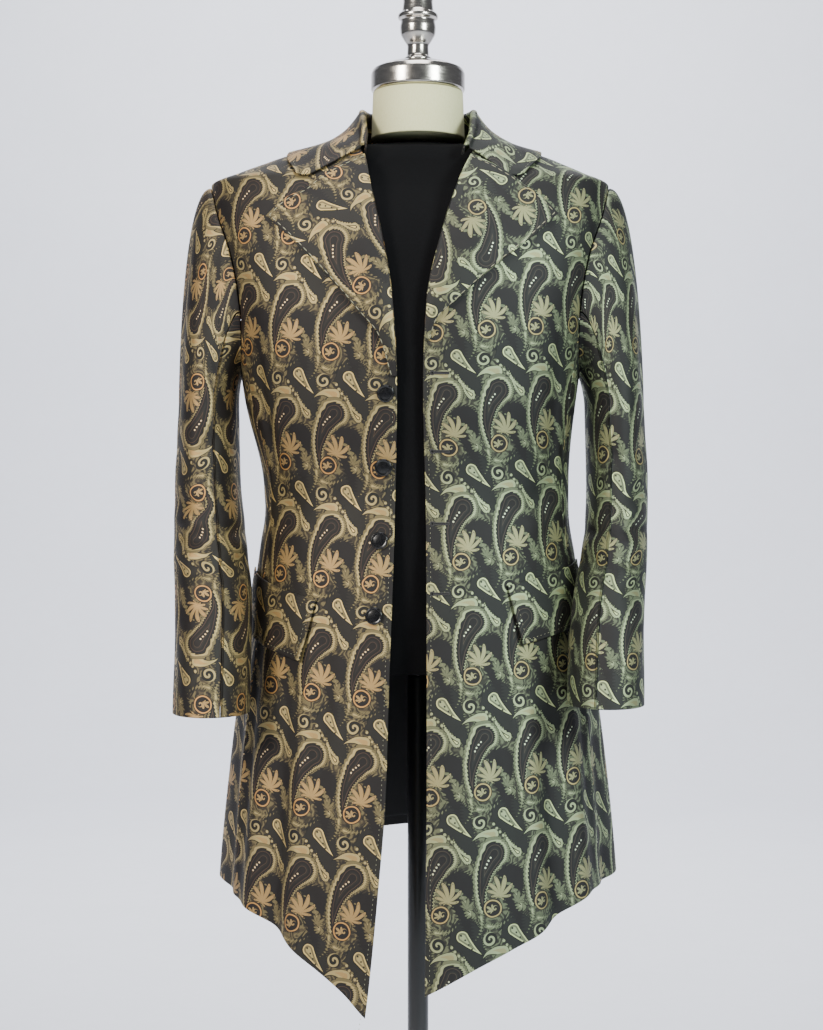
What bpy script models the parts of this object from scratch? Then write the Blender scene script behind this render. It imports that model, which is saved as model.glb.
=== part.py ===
"""An open, knee-length frock coat with wide peaked lapels, standing on a limbless tailor's form.

The coat's body is a stack of rings, wider at the chest and hem and narrower at the waist.
Each panel is a patch of that surface, bounded by its seams, with a wall of cloth behind it.
Metres, +Z up, the front faces -Y, and right and left are the wearer's.
"""
import math
from typing import NamedTuple

import bmesh
import bpy
import numpy as np

COAT_WALL = 0.0022
LINING_WALL = 0.0010
LAYER_GAP = 0.0005
SEAM_ANGLE = 0.06
RIGHT = -1
LEFT = 1
SIDE_NAMES = {RIGHT: "right", LEFT: "left"}

# The seams of the side body, as angles from the centre front, and the armhole between them.
SIDE_SEAM_FRONT = 68.0
SIDE_SEAM_BACK = 112.0
ARMHOLE_HEIGHT = 1.318
ARMHOLE_HALF_HEIGHT = 0.114
ARMHOLE_HALF_ANGLE = 27.0
SLEEVE_SEAM_GAP = 0.0012
SEAM_TURN = math.degrees(math.asin((90.0 - SIDE_SEAM_FRONT) / ARMHOLE_HALF_ANGLE))
UNDERARM_TURN = 180.0 - SEAM_TURN
UNDERARM_HEIGHT = ARMHOLE_HEIGHT - ARMHOLE_HALF_HEIGHT * math.cos(math.radians(SEAM_TURN))
TIP_HEIGHT = ARMHOLE_HEIGHT + ARMHOLE_HALF_HEIGHT
NECK_HEIGHT = 1.485

VENT_TOP = 0.870
VENT_LENGTH = 0.20
VENT_ANGLE = 1.1


class BodySection(NamedTuple):
    """One ring of the coat's body."""
    height: float
    half_width: float
    front: float
    back: float
    squareness: float
    centre_x: float


BODY_SECTIONS = (
    BodySection(0.440, 0.2420, 0.176, 0.176, 2.05, 0.000),
    BodySection(0.610, 0.2315, 0.168, 0.168, 2.05, 0.000),
    BodySection(0.720, 0.2225, 0.159, 0.160, 2.05, 0.000),
    BodySection(0.810, 0.2140, 0.150, 0.152, 2.05, 0.000),
    BodySection(0.945, 0.1955, 0.139, 0.136, 2.10, -0.001),
    BodySection(1.070, 0.1820, 0.128, 0.115, 2.25, -0.002),
    BodySection(1.180, 0.1980, 0.141, 0.123, 2.45, -0.009),
    BodySection(1.252, 0.2085, 0.145, 0.128, 2.55, -0.0095),
    BodySection(1.340, 0.2260, 0.137, 0.124, 2.60, -0.0095),
    BodySection(1.400, 0.2380, 0.118, 0.113, 2.50, -0.0095),
    BodySection(1.432, 0.2375, 0.103, 0.102, 2.40, -0.0095),
    BodySection(1.445, 0.2100, 0.096, 0.097, 2.30, -0.0080),
    BodySection(1.455, 0.1850, 0.091, 0.093, 2.25, -0.0060),
    BodySection(1.465, 0.1580, 0.086, 0.089, 2.20, -0.0040),
    BodySection(1.475, 0.1150, 0.080, 0.085, 2.10, -0.0020),
    BodySection(1.485, 0.0850, 0.073, 0.080, 2.00, 0.0000),
    BodySection(1.500, 0.0620, 0.060, 0.066, 2.00, 0.0000),
)


class HemPoint(NamedTuple):
    """Height of the hem at one angle from the centre front."""
    angle: float
    height: float


HEMS = {
    RIGHT: (
        HemPoint(0.0, 0.440),
        HemPoint(14.0, 0.480),
        HemPoint(20.0, 0.505),
        HemPoint(31.0, 0.537),
        HemPoint(43.0, 0.569),
        HemPoint(63.0, 0.595),
        HemPoint(82.0, 0.604),
        HemPoint(120.0, 0.622),
        HemPoint(180.0, 0.645),
    ),
    LEFT: (
        HemPoint(0.0, 0.502),
        HemPoint(4.0, 0.510),
        HemPoint(16.0, 0.535),
        HemPoint(25.0, 0.551),
        HemPoint(36.0, 0.571),
        HemPoint(47.0, 0.591),
        HemPoint(58.0, 0.606),
        HemPoint(82.0, 0.613),
        HemPoint(120.0, 0.632),
        HemPoint(180.0, 0.662),
    ),
}


class EdgePoint(NamedTuple):
    """Place of the front edge, and above the break of the roll line, at one height."""
    height: float
    right: float
    left: float


FRONT_EDGE = (
    EdgePoint(0.440, -0.0650, 0.0060),
    EdgePoint(0.509, -0.0560, 0.0070),
    EdgePoint(0.620, -0.0450, 0.0080),
    EdgePoint(0.720, -0.0370, 0.0090),
    EdgePoint(0.860, -0.0325, 0.0090),
    EdgePoint(1.020, -0.0270, 0.0085),
    EdgePoint(1.190, -0.0240, 0.0050),
    EdgePoint(1.285, -0.0290, 0.0090),
    EdgePoint(1.355, -0.0400, 0.0240),
    EdgePoint(1.420, -0.0550, 0.0440),
    EdgePoint(1.452, -0.0620, 0.0580),
    EdgePoint(1.465, -0.0670, 0.0650),
    EdgePoint(1.478, -0.0760, 0.0760),
    EdgePoint(1.485, -0.0850, 0.0850),
)

# Share of the way up the roll line, and the height there.
ROLL_HEIGHTS = ((0.0, UNDERARM_HEIGHT), (0.35, 1.360), (0.60, 1.425), (0.80, 1.463), (1.0, NECK_HEIGHT))


class Fold(NamedTuple):
    """One soft flute of the skirts, or a hollow where its depth is negative."""
    angle: float
    half_angle: float
    depth: float
    low: float
    high: float


FOLDS = (
    Fold(-36.0, 5.0, 0.0055, 0.62, 0.98),
    Fold(-45.0, 4.5, -0.0050, 0.62, 0.95),
    Fold(-56.0, 5.5, 0.0060, 0.66, 0.93),
    Fold(-76.0, 6.0, -0.0060, 0.64, 0.98),
    Fold(-92.0, 7.0, 0.0070, 0.62, 1.00),
    Fold(-118.0, 7.0, -0.0065, 0.66, 1.02),
    Fold(-134.0, 7.5, 0.0070, 0.62, 0.96),
    Fold(-160.0, 7.0, -0.0050, 0.68, 0.92),
    Fold(34.0, 5.0, 0.0045, 0.60, 0.93),
    Fold(43.0, 4.5, -0.0055, 0.62, 0.97),
    Fold(54.0, 5.0, 0.0060, 0.66, 0.95),
    Fold(74.0, 6.0, -0.0065, 0.62, 1.00),
    Fold(89.0, 7.0, 0.0065, 0.64, 0.96),
    Fold(115.0, 7.0, -0.0060, 0.62, 1.00),
    Fold(131.0, 7.5, 0.0075, 0.66, 1.03),
    Fold(158.0, 7.5, -0.0055, 0.64, 0.94),
)


class SleeveSection(NamedTuple):
    """One level ring of a sleeve, with its outer and inner sides measured from the middle."""
    height: float
    outer: float
    inner: float
    centre_y: float
    half_depth: float


SLEEVES = {
    RIGHT: (
        SleeveSection(0.815, 0.2800, 0.1925, -0.112, 0.066),
        SleeveSection(0.890, 0.2815, 0.1927, -0.088, 0.067),
        SleeveSection(0.947, 0.2835, 0.1942, -0.063, 0.068),
        SleeveSection(0.988, 0.2870, 0.2000, -0.042, 0.070),
        SleeveSection(1.030, 0.2890, 0.2060, -0.021, 0.072),
        SleeveSection(1.080, 0.2900, 0.2125, -0.005, 0.074),
        SleeveSection(1.170, 0.2860, 0.2150, 0.000, 0.077),
    ),
    LEFT: (
        SleeveSection(0.826, 0.2550, 0.1680, -0.132, 0.064),
        SleeveSection(0.890, 0.2590, 0.1720, -0.108, 0.065),
        SleeveSection(0.947, 0.2625, 0.1800, -0.080, 0.066),
        SleeveSection(0.988, 0.2675, 0.1900, -0.054, 0.069),
        SleeveSection(1.030, 0.2710, 0.1980, -0.028, 0.072),
        SleeveSection(1.080, 0.2740, 0.2014, -0.007, 0.074),
        SleeveSection(1.170, 0.2700, 0.2000, 0.000, 0.077),
    ),
}
SLEEVE_CLEARANCE = 0.0065
SLEEVE_OUTWARD = 0.36
SLEEVE_ROPING = 0.05
SLEEVE_FALL = 0.85
FRONT_SLEEVE_SEAM = 112.0
BACK_SLEEVE_SEAM = -104.0


class CollarStation(NamedTuple):
    """One section of half the collar, from the centre back to its front end."""
    share: float
    stand_x: float
    stand_y: float
    stand_z: float
    fold_x: float
    fold_y: float
    fold_z: float
    edge_x: float
    edge_y: float


COLLAR = (
    CollarStation(0.00, 0.0000, 0.0782, 1.4857, 0.0000, 0.0710, 1.5300, 0.0000, 0.0950),
    CollarStation(0.20, 0.0440, 0.0670, 1.4857, 0.0370, 0.0610, 1.5300, 0.0640, 0.0880),
    CollarStation(0.42, 0.0755, 0.0335, 1.4857, 0.0620, 0.0290, 1.5290, 0.1220, 0.0480),
    CollarStation(0.60, 0.0825, -0.0020, 1.4857, 0.0665, -0.0060, 1.5250, 0.1470, 0.0000),
    CollarStation(0.80, 0.0735, -0.0500, 1.4800, 0.0650, -0.0480, 1.5060, 0.1480, -0.0550),
    CollarStation(1.00, 0.0545, -0.0790, 1.4580, 0.0600, -0.0850, 1.4690, 0.1330, -0.0905),
)
COLLAR_ROLL = 0.0045
COLLAR_LIFT = 0.0040
COLLAR_NOSE = 0.0070
COLLAR_NOSE_START = 0.80

# The lapel's outline: share of the way up, then across and height, for its outer edge and top edge.
LAPEL_BREAK = {RIGHT: 1.196, LEFT: 1.236}
LAPEL_TOP = 1.456
LAPEL_OUTER = {
    RIGHT: ((0.0, 0.0300, 1.196), (0.20, 0.0456, 1.2436), (0.35, 0.0670, 1.2690), (0.60, 0.1042, 1.3118),
            (0.80, 0.1400, 1.3500), (1.0, 0.1731, 1.3810)),
    LEFT: ((0.0, 0.0120, 1.236), (0.15, 0.0200, 1.2600), (0.35, 0.0435, 1.2825), (0.60, 0.0850, 1.3200),
           (0.80, 0.1240, 1.3520), (1.0, 0.1590, 1.3845)),
}
LAPEL_UPPER = {
    RIGHT: ((0.0, 0.0615, 1.4560), (0.28, 0.0900, 1.4405), (0.50, 0.1165, 1.4222), (0.60, 0.1270, 1.4125),
            (0.80, 0.1520, 1.4000), (1.0, 0.1731, 1.3810)),
    LEFT: ((0.0, 0.0600, 1.4560), (0.28, 0.0850, 1.4415), (0.50, 0.1095, 1.4255), (0.60, 0.1180, 1.4175),
           (0.80, 0.1400, 1.4030), (1.0, 0.1590, 1.3845)),
}
LAPEL_SEAT = 0.0009
LAPEL_BLOOM = 0.0035


class Flap(NamedTuple):
    """A pocket flap: the heights of its corners, and its front end and outer end."""
    front_x: float
    front_top: float
    front_low: float
    outer_angle: float
    outer_top: float
    outer_low: float


FLAPS = {
    RIGHT: Flap(0.1155, 0.943, 0.873, 86.0, 0.978, 0.908),
    LEFT: Flap(0.1000, 0.960, 0.892, 80.0, 0.988, 0.922),
}
FLAP_SLANT = 0.016
FLAP_SEAT = 0.0011
FLAP_STAND = 0.0045

# Places of the buttons on the right front: across, height, and how far each back stands off the curve.
BUTTONS = ((-0.0370, 1.177, 0.0003), (-0.0394, 1.094, 0.0015), (-0.0440, 1.011, 0.0010), (-0.0500, 0.926, 0.0007))
BUTTON_PROFILE = ((0.0, 0.0), (0.0088, 0.0), (0.0100, 0.0012), (0.0100, 0.0026), (0.0088, 0.0036), (0.0070, 0.0030), (0.0, 0.0044))
BUTTON_SIDES = 16

LINING_HEM_SHARE = 0.020

# The form: its clearance inside the cloth by height, its bottom, neck, cap, finial, pole and base.
FORM_INSETS = (
    (0.86, 0.030), (0.95, 0.020), (1.07, 0.0095), (1.18, 0.0105), (1.30, 0.0120), (1.40, 0.0140),
    (1.432, 0.0130), (1.445, 0.0110), (1.455, 0.0095), (1.465, 0.0074), (1.475, 0.0054), (1.485, 0.0038),
)
FORM_NECK_HOLLOW = 0.014
FORM_HOLLOW_LOW = 1.370
FORM_HOLLOW_HIGH = 1.450
FORM_BOTTOM = 0.860
NECK_RADIUS = 0.0560
NECK_BOTTOM = 1.490
NECK_TOP = 1.546
CAP_PROFILE = ((0.0, 1.5465), (0.0530, 1.5465), (0.0564, 1.5490), (0.0564, 1.5680), (0.0540, 1.5735), (0.0380, 1.5800), (0.0, 1.5830))
FINIAL_PROFILE = (
    (0.0, 1.5835), (0.0175, 1.5835), (0.0175, 1.5870), (0.0132, 1.5900), (0.0125, 1.6030), (0.0160, 1.6080),
    (0.0208, 1.6160), (0.0216, 1.6250), (0.0200, 1.6330), (0.0240, 1.6350), (0.0240, 1.6400), (0.0190, 1.6430),
    (0.0174, 1.6560), (0.0200, 1.6660), (0.0190, 1.6780), (0.0120, 1.6870), (0.0, 1.6900),
)
POLE_RADIUS = 0.0125
BASE_PROFILE = ((0.0, 0.0), (0.1700, 0.0), (0.1700, 0.0080), (0.1640, 0.0125), (0.0500, 0.0200), (0.0300, 0.0300), (0.0240, 0.0500), (0.0, 0.0500))
POLE_BOTTOM = 0.0503


def smooth(table, column, at):
    """Read one column of a table at any place, by a cubic that never overshoots its rows."""
    rows = np.array(table, dtype=float)
    knots = rows[:, 0]
    values = rows[:, column]
    step = np.diff(knots)
    slope = np.diff(values) / step
    product = slope[:-1] * slope[1:]
    weight_a = 2.0 * step[1:] + step[:-1]
    weight_b = step[1:] + 2.0 * step[:-1]
    mixed = weight_a * slope[1:] + weight_b * slope[:-1]
    mixed = np.where(product > 0.0, mixed, 1.0)
    tangent = np.empty_like(values)
    tangent[0] = slope[0]
    tangent[-1] = slope[-1]
    tangent[1:-1] = np.where(product > 0.0, (weight_a + weight_b) * product / mixed, 0.0)
    place = np.clip(np.asarray(at, dtype=float), knots[0], knots[-1])
    cell = np.clip(np.searchsorted(knots, place, side="right") - 1, 0, len(step) - 1)
    t = (place - knots[cell]) / step[cell]
    rise = step[cell]
    start = values[cell] * (2.0 * t**3 - 3.0 * t**2 + 1.0) + tangent[cell] * rise * (t**3 - 2.0 * t**2 + t)
    end = values[cell + 1] * (3.0 * t**2 - 2.0 * t**3) + tangent[cell + 1] * rise * (t**3 - t**2)
    return start + end


def ease(t):
    """Smooth step from 0 to 1."""
    t = np.clip(t, 0.0, 1.0)
    return t * t * (3.0 - 2.0 * t)


def ring_at(height):
    """Half width, front depth, back depth, squareness and middle of the body at a height."""
    return tuple(smooth(BODY_SECTIONS, column, height) for column in range(1, 6))


def fold_depth(angle, height):
    """How far the skirts' flutes stand out at an angle and a height."""
    depth = np.zeros(np.broadcast(angle, height).shape)
    for fold in FOLDS:
        across = np.exp(-(((angle - fold.angle) / fold.half_angle) ** 2))
        depth = depth + fold.depth * across * ease((fold.high - height) / (fold.high - fold.low))
    return depth


def body_point(angle, height):
    """The outer face of the coat's body at an angle from the centre front and a height."""
    half_width, front, back, squareness, centre_x = ring_at(height)
    sine = np.sin(np.radians(angle))
    cosine = np.cos(np.radians(angle))
    power = 2.0 / squareness
    depth = np.where(cosine > 0.0, front, back)
    across = half_width * np.sign(sine) * np.abs(sine) ** power
    along = -depth * np.sign(cosine) * np.abs(cosine) ** power
    reach = np.hypot(across, along)
    swell = 1.0 + fold_depth(angle, height) / reach
    return np.stack(np.broadcast_arrays(centre_x + across * swell, along * swell, height), axis=-1)


def cross_normal(point, a, b, step_a, step_b):
    """Unit normal of a surface of two parameters, from small steps along each."""
    along_a = point(a + step_a, b) - point(a - step_a, b)
    along_b = point(a, b + step_b) - point(a, b - step_b)
    normal = np.cross(along_a, along_b)
    return normal / np.linalg.norm(normal, axis=-1, keepdims=True)


def body_normal(angle, height):
    """Outward normal of the coat's body."""
    return cross_normal(body_point, angle, height, 0.25, 0.0005)


def angle_at(across, height, side):
    """Angle from the centre front where the body's front passes a given place across."""
    half_width, _, _, squareness, centre_x = ring_at(height)
    ratio = np.clip(side * (across - centre_x) / half_width, 0.0, 1.0)
    return np.degrees(np.arcsin(ratio ** (squareness / 2.0)))


def grid(rows, columns):
    """Two arrays of shares, down the rows and across the columns."""
    return np.meshgrid(np.asarray(rows, dtype=float), np.asarray(columns, dtype=float), indexing="ij")


def make_material(name, colour, roughness, metallic=0.0):
    """A plain surface of one colour."""
    material = bpy.data.materials.new(name)
    material.use_nodes = True
    shader = material.node_tree.nodes["Principled BSDF"]
    shader.inputs["Base Color"].default_value = (*colour, 1.0)
    shader.inputs["Roughness"].default_value = roughness
    shader.inputs["Metallic"].default_value = metallic
    material.diffuse_color = (*colour, 1.0)
    return material


def make_object(name, points, faces, material, sharp=40.0):
    """Put one closed mesh into the scene, shaded smooth."""
    mesh = bpy.data.meshes.new(name)
    mesh.from_pydata([tuple(point) for point in points], [], faces)
    mesh.validate()
    body = bmesh.new()
    body.from_mesh(mesh)
    bmesh.ops.triangulate(body, faces=body.faces[:])
    bmesh.ops.recalc_face_normals(body, faces=body.faces[:])
    body.to_mesh(mesh)
    body.free()
    mesh.materials.append(material)
    mesh.shade_smooth()
    mesh.set_sharp_from_angle(angle=math.radians(sharp))
    item = bpy.data.objects.new(name, mesh)
    bpy.context.scene.collection.objects.link(item)
    return item


def make_wall(name, outer, normal, thickness, material):
    """Close a grid of outer points into a wall of cloth, with its inner face moved in."""
    rows, columns = outer.shape[:2]
    inner = outer - normal * thickness
    points = np.concatenate((outer.reshape(-1, 3), inner.reshape(-1, 3)))
    index = np.arange(rows * columns).reshape(rows, columns)
    back = index + rows * columns
    faces = []
    for face in (index, back[:, ::-1]):
        quads = np.stack((face[:-1, :-1], face[:-1, 1:], face[1:, 1:], face[1:, :-1]), axis=-1)
        faces.extend(quads.reshape(-1, 4).tolist())
    loop = np.concatenate((index[0, :-1], index[:-1, -1], index[-1, :0:-1], index[:0:-1, 0]))
    under = loop + rows * columns
    rim = np.stack((loop, under, np.roll(under, -1), np.roll(loop, -1)), axis=-1)
    faces.extend(rim.tolist())
    return make_object(name, points, faces, material)


def make_turned(name, profile, sides, material, place=None):
    """Turn a profile of radius and height, with both ends on its axis, into one closed solid."""
    steps = np.arange(sides) * 2.0 * math.pi / sides
    points = [(0.0, 0.0, profile[0][1])]
    for radius, height in profile[1:-1]:
        points.extend((radius * math.cos(step), radius * math.sin(step), height) for step in steps)
    points.append((0.0, 0.0, profile[-1][1]))
    faces = []
    last = len(points) - 1
    rings = len(profile) - 2
    for side in range(sides):
        after = (side + 1) % sides
        faces.append((0, 1 + after, 1 + side))
        for ring in range(rings - 1):
            low = 1 + ring * sides
            high = low + sides
            faces.append((low + side, low + after, high + after, high + side))
        top = 1 + (rings - 1) * sides
        faces.append((last, top + side, top + after))
    points = np.array(points)
    if place is not None:
        points = place(points)
    return make_object(name, points, faces, material)


def armhole_net(turn, gap=0.0):
    """Angle from the centre front and height at a turn round the armhole, 0 at the shoulder tip."""
    shrink = gap / ARMHOLE_HALF_HEIGHT
    angle = 90.0 - ARMHOLE_HALF_ANGLE * (1.0 - 1.6 * shrink) * np.sin(np.radians(turn))
    height = ARMHOLE_HEIGHT + ARMHOLE_HALF_HEIGHT * (1.0 - shrink) * np.cos(np.radians(turn))
    return angle, height


def patch(low, high, first, last, across, up):
    """Fill in a patch from its four edges, each edge a pair of angle and height."""
    net = []
    for lower, upper, start, end in zip(low, high, first, last):
        corners = (
            (1.0 - across) * (1.0 - up) * lower[0, 0]
            + across * (1.0 - up) * lower[0, -1]
            + (1.0 - across) * up * upper[0, 0]
            + across * up * upper[0, -1]
        )
        net.append((1.0 - up) * lower + up * upper + (1.0 - across) * start + across * end - corners)
    return net


def front_net(side, rows, columns):
    """Angles and heights of a front panel's grid, from the hem to the shoulder seam."""
    edge_column = 1 if side == RIGHT else 2
    up, across = grid(rows, columns)
    hem = HEMS[side]
    seam = SIDE_SEAM_FRONT - SEAM_ANGLE
    level = np.minimum(up, 1.0)
    edge_height = np.full_like(level, UNDERARM_HEIGHT)
    for _ in range(6):
        edge = angle_at(smooth(FRONT_EDGE, edge_column, edge_height), edge_height, side)
        base = smooth(hem, 1, edge)
        edge_height = base + level * (UNDERARM_HEIGHT - base)
    angle = edge + across * (seam - edge)
    base = smooth(hem, 1, angle)
    height = base + level * (UNDERARM_HEIGHT - base)
    top = np.clip(up - 1.0, 0.0, 1.0)
    roll_height = smooth(ROLL_HEIGHTS, 1, top)
    roll = angle_at(smooth(FRONT_EDGE, edge_column, roll_height), roll_height, side)
    roll = np.minimum(roll, 90.0 - SEAM_ANGLE)
    arm, arm_height = armhole_net(UNDERARM_TURN * (1.0 - top))
    arm = np.minimum(arm, 90.0 - SEAM_ANGLE)
    arm = np.where(top == 0.0, seam, arm)
    start = float(angle_at(smooth(FRONT_EDGE, edge_column, UNDERARM_HEIGHT), UNDERARM_HEIGHT, side))
    low_angle = start + across * (seam - start)
    low = (low_angle, np.full_like(across, UNDERARM_HEIGHT))
    high = (np.full_like(across, 90.0 - SEAM_ANGLE), NECK_HEIGHT + across * (TIP_HEIGHT - NECK_HEIGHT))
    upper_angle, upper_height = patch(low, high, (roll, roll_height), (arm, arm_height), across, top)
    return np.where(up > 1.0, upper_angle, angle), np.where(up > 1.0, upper_height, height)


def back_net(side, rows, columns):
    """Angles and heights of a back panel's grid, from the hem to the shoulder and the neck."""
    up, across = grid(rows, columns)
    hem = HEMS[side]
    seam = SIDE_SEAM_BACK + SEAM_ANGLE
    centre = 180.0 - SEAM_ANGLE
    level = np.minimum(up, 1.0)
    base = smooth(hem, 1, 180.0)
    centre_height = base + level * (UNDERARM_HEIGHT - base)
    opening = VENT_ANGLE * ease((VENT_TOP - centre_height) / VENT_LENGTH)
    angle = seam + across * (centre - opening - seam)
    base = smooth(hem, 1, angle)
    height = base + level * (UNDERARM_HEIGHT - base)
    top = np.clip(up - 1.0, 0.0, 1.0)
    arm, arm_height = armhole_net(UNDERARM_TURN * (1.0 - top))
    arm = np.maximum(180.0 - arm, 90.0 + SEAM_ANGLE)
    arm = np.where(top == 0.0, seam, arm)
    middle = (np.full_like(top, centre), UNDERARM_HEIGHT + top * (NECK_HEIGHT - UNDERARM_HEIGHT))
    low = (seam + across * (centre - seam), np.full_like(across, UNDERARM_HEIGHT))
    shoulder = np.clip(across / SHOULDER_SHARE, 0.0, 1.0)
    neck = np.clip((across - SHOULDER_SHARE) / (1.0 - SHOULDER_SHARE), 0.0, 1.0)
    first = 90.0 + SEAM_ANGLE
    high = (first + neck * (centre - first), TIP_HEIGHT + shoulder * (NECK_HEIGHT - TIP_HEIGHT))
    upper_angle, upper_height = patch(low, high, (arm, arm_height), middle, across, top)
    return np.where(up > 1.0, upper_angle, angle), np.where(up > 1.0, upper_height, height)


SHOULDER_SHARE = 0.6
SKIRT_ROWS = np.linspace(0.0, 1.0, 14)
CHEST_ROWS = 1.0 + np.array((0.14, 0.28, 0.42, 0.56, 0.70, 0.82, 0.92, 1.0))
PANEL_ROWS = np.concatenate((SKIRT_ROWS, CHEST_ROWS))
FRONT_COLUMNS = np.linspace(0.0, 1.0, 13)
SIDE_COLUMNS = np.linspace(0.0, 1.0, 7)
BACK_COLUMNS = np.linspace(0.0, 1.0, 11)


def make_front(side, material):
    """A front panel, from its edge and roll line to the side seam and the armhole."""
    angle, height = front_net(side, PANEL_ROWS, FRONT_COLUMNS)
    angle = side * angle
    return make_wall(
        "front_" + SIDE_NAMES[side], body_point(angle, height), body_normal(angle, height), COAT_WALL, material
    )


def make_side(side, material):
    """The panel under an arm, with the bottom of the armhole as its top edge."""
    up, across = grid(SKIRT_ROWS, SIDE_COLUMNS)
    first = SIDE_SEAM_FRONT + SEAM_ANGLE
    angle = first + across * (SIDE_SEAM_BACK - SEAM_ANGLE - first)
    base = smooth(HEMS[side], 1, angle)
    reach = np.clip((angle - 90.0) / ARMHOLE_HALF_ANGLE, -1.0, 1.0)
    top = ARMHOLE_HEIGHT - ARMHOLE_HALF_HEIGHT * np.sqrt(1.0 - reach**2)
    height = base + up * (top - base)
    angle = side * angle
    return make_wall(
        "side_body_" + SIDE_NAMES[side], body_point(angle, height), body_normal(angle, height), COAT_WALL, material
    )


def make_back(side, material):
    """A back panel, with the centre seam and, below it, half of the open vent."""
    angle, height = back_net(side, PANEL_ROWS, BACK_COLUMNS)
    angle = side * angle
    return make_wall(
        "back_" + SIDE_NAMES[side], body_point(angle, height), body_normal(angle, height), COAT_WALL, material
    )


def make_lining(side, material):
    """The lining behind a back panel, from just above the hem to the underarm."""
    rows = np.maximum(SKIRT_ROWS, LINING_HEM_SHARE)
    angle, height = back_net(side, rows, BACK_COLUMNS)
    angle = side * angle
    normal = body_normal(angle, height)
    outer = body_point(angle, height) - normal * (COAT_WALL + LAYER_GAP)
    return make_wall("back_lining_" + SIDE_NAMES[side], outer, normal, LINING_WALL, material)


def body_reach(along, height):
    """How far out to the side the body reaches at a place along the depth and a height."""
    half_width, front, back, squareness, _ = ring_at(height)
    depth = np.where(along < 0.0, front, back)
    share = np.clip(np.abs(along) / depth, 0.0, 1.0)
    return half_width * (1.0 - share**squareness) ** (1.0 / squareness)


def sleeve_ring(side, turn, height):
    """A point of a sleeve's level ring, pushed clear of the body beside it."""
    sections = SLEEVES[side]
    outer = smooth(sections, 1, height)
    inner = smooth(sections, 2, height)
    centre_y = smooth(sections, 3, height)
    half_depth = smooth(sections, 4, height)
    across = 0.5 * (outer + inner) + 0.5 * (outer - inner) * np.cos(np.radians(turn))
    along = centre_y - half_depth * np.sin(np.radians(turn))
    centre_x = smooth(BODY_SECTIONS, 5, height)
    clear = body_reach(along, height) + SLEEVE_CLEARANCE + side * centre_x
    across = np.maximum(across, clear)
    return np.stack(np.broadcast_arrays(side * across, along, height), axis=-1)


def sleeve_point(side, turn, down):
    """A sleeve's outer face: from the armhole at 0, over the head to 1, then to the cuff at 2."""
    top = SLEEVES[side][-1].height
    low = SLEEVES[side][0].height
    length = np.clip(down - 1.0, -0.01, 1.0)
    ring = sleeve_ring(side, turn, top - length * (top - low))
    angle, height = armhole_net(turn, SLEEVE_SEAM_GAP)
    start = body_point(side * angle, height)
    end = sleeve_ring(side, turn, np.full_like(turn, top))
    reach = np.linalg.norm(end - start, axis=-1, keepdims=True)
    crown = np.clip(np.cos(np.radians(turn)), 0.0, 1.0)[..., None]
    outward = np.array((side * SLEEVE_OUTWARD, 0.0, 0.0)) + np.array((0.0, 0.0, SLEEVE_ROPING)) * crown
    fall = np.array((0.0, 0.0, -SLEEVE_FALL))
    t = np.clip(down, -0.01, 1.0)[..., None]
    head = (
        start * (2.0 * t**3 - 3.0 * t**2 + 1.0)
        + outward * reach * (t**3 - 2.0 * t**2 + t)
        + end * (3.0 * t**2 - 2.0 * t**3)
        + fall * reach * (t**3 - t**2)
    )
    return np.where(down[..., None] < 1.0, head, ring)


SLEEVE_ROWS = np.concatenate((np.array((0.0, 0.08, 0.18, 0.32, 0.50, 0.70, 0.86)), np.linspace(1.0, 2.0, 9)))
SLEEVE_SEAM_TURN = 0.35
ARMHOLE_TURNS = UNDERARM_TURN * (2.0 - CHEST_ROWS[1:-2])
TOP_TURNS = np.concatenate((
    (BACK_SLEEVE_SEAM + SLEEVE_SEAM_TURN,), -ARMHOLE_TURNS, (0.0,), ARMHOLE_TURNS[::-1],
    (FRONT_SLEEVE_SEAM - SLEEVE_SEAM_TURN,),
))
UNDER_TURNS = np.linspace(FRONT_SLEEVE_SEAM + SLEEVE_SEAM_TURN, 360.0 + BACK_SLEEVE_SEAM - SLEEVE_SEAM_TURN, 9)


def make_sleeve_half(name, side, turns, material):
    """One of the two panels of a sleeve, over a row of turns round it."""
    down, turn = grid(SLEEVE_ROWS, turns)

    def point(at_turn, at_down):
        return sleeve_point(side, at_turn, at_down)

    outer = point(turn, down)
    normal = cross_normal(point, turn, down, 0.5, 0.004)
    ring_centre = 0.5 * (point(turn, down) + point(turn + 180.0, down))
    outward = np.sum((outer - ring_centre) * normal, axis=-1)
    normal = normal * np.sign(np.sum(outward))
    return make_wall(name + SIDE_NAMES[side], outer, normal, COAT_WALL, material)


def make_sleeve(side, material):
    """A two-piece sleeve: the top sleeve outside and the under sleeve beside the body."""
    make_sleeve_half("top_sleeve_", side, TOP_TURNS, material)
    make_sleeve_half("under_sleeve_", side, UNDER_TURNS, material)


def yoke_height(across, along):
    """Height of the shoulders above a place across and along, found by halving the range."""
    low = np.full_like(across, 1.38)
    high = np.full_like(across, 1.50)
    for _ in range(24):
        middle = 0.5 * (low + high)
        half_width, front, back, squareness, _ = ring_at(middle)
        depth = np.where(along < 0.0, front, back)
        size = (np.abs(across) / half_width) ** squareness + (np.abs(along) / depth) ** squareness
        low = np.where(size < 1.0, middle, low)
        high = np.where(size < 1.0, high, middle)
    return 0.5 * (low + high)


def yoke_point(across, along, lift):
    """A point held off the shoulders by a lift square to them."""
    step = 0.0005
    height = yoke_height(across, along)
    slope_x = (yoke_height(across + step, along) - yoke_height(across - step, along)) / (2.0 * step)
    slope_y = (yoke_height(across, along + step) - yoke_height(across, along - step)) / (2.0 * step)
    length = np.sqrt(slope_x**2 + slope_y**2 + 1.0)
    return across - lift * slope_x / length, along - lift * slope_y / length, height + lift / length


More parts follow.
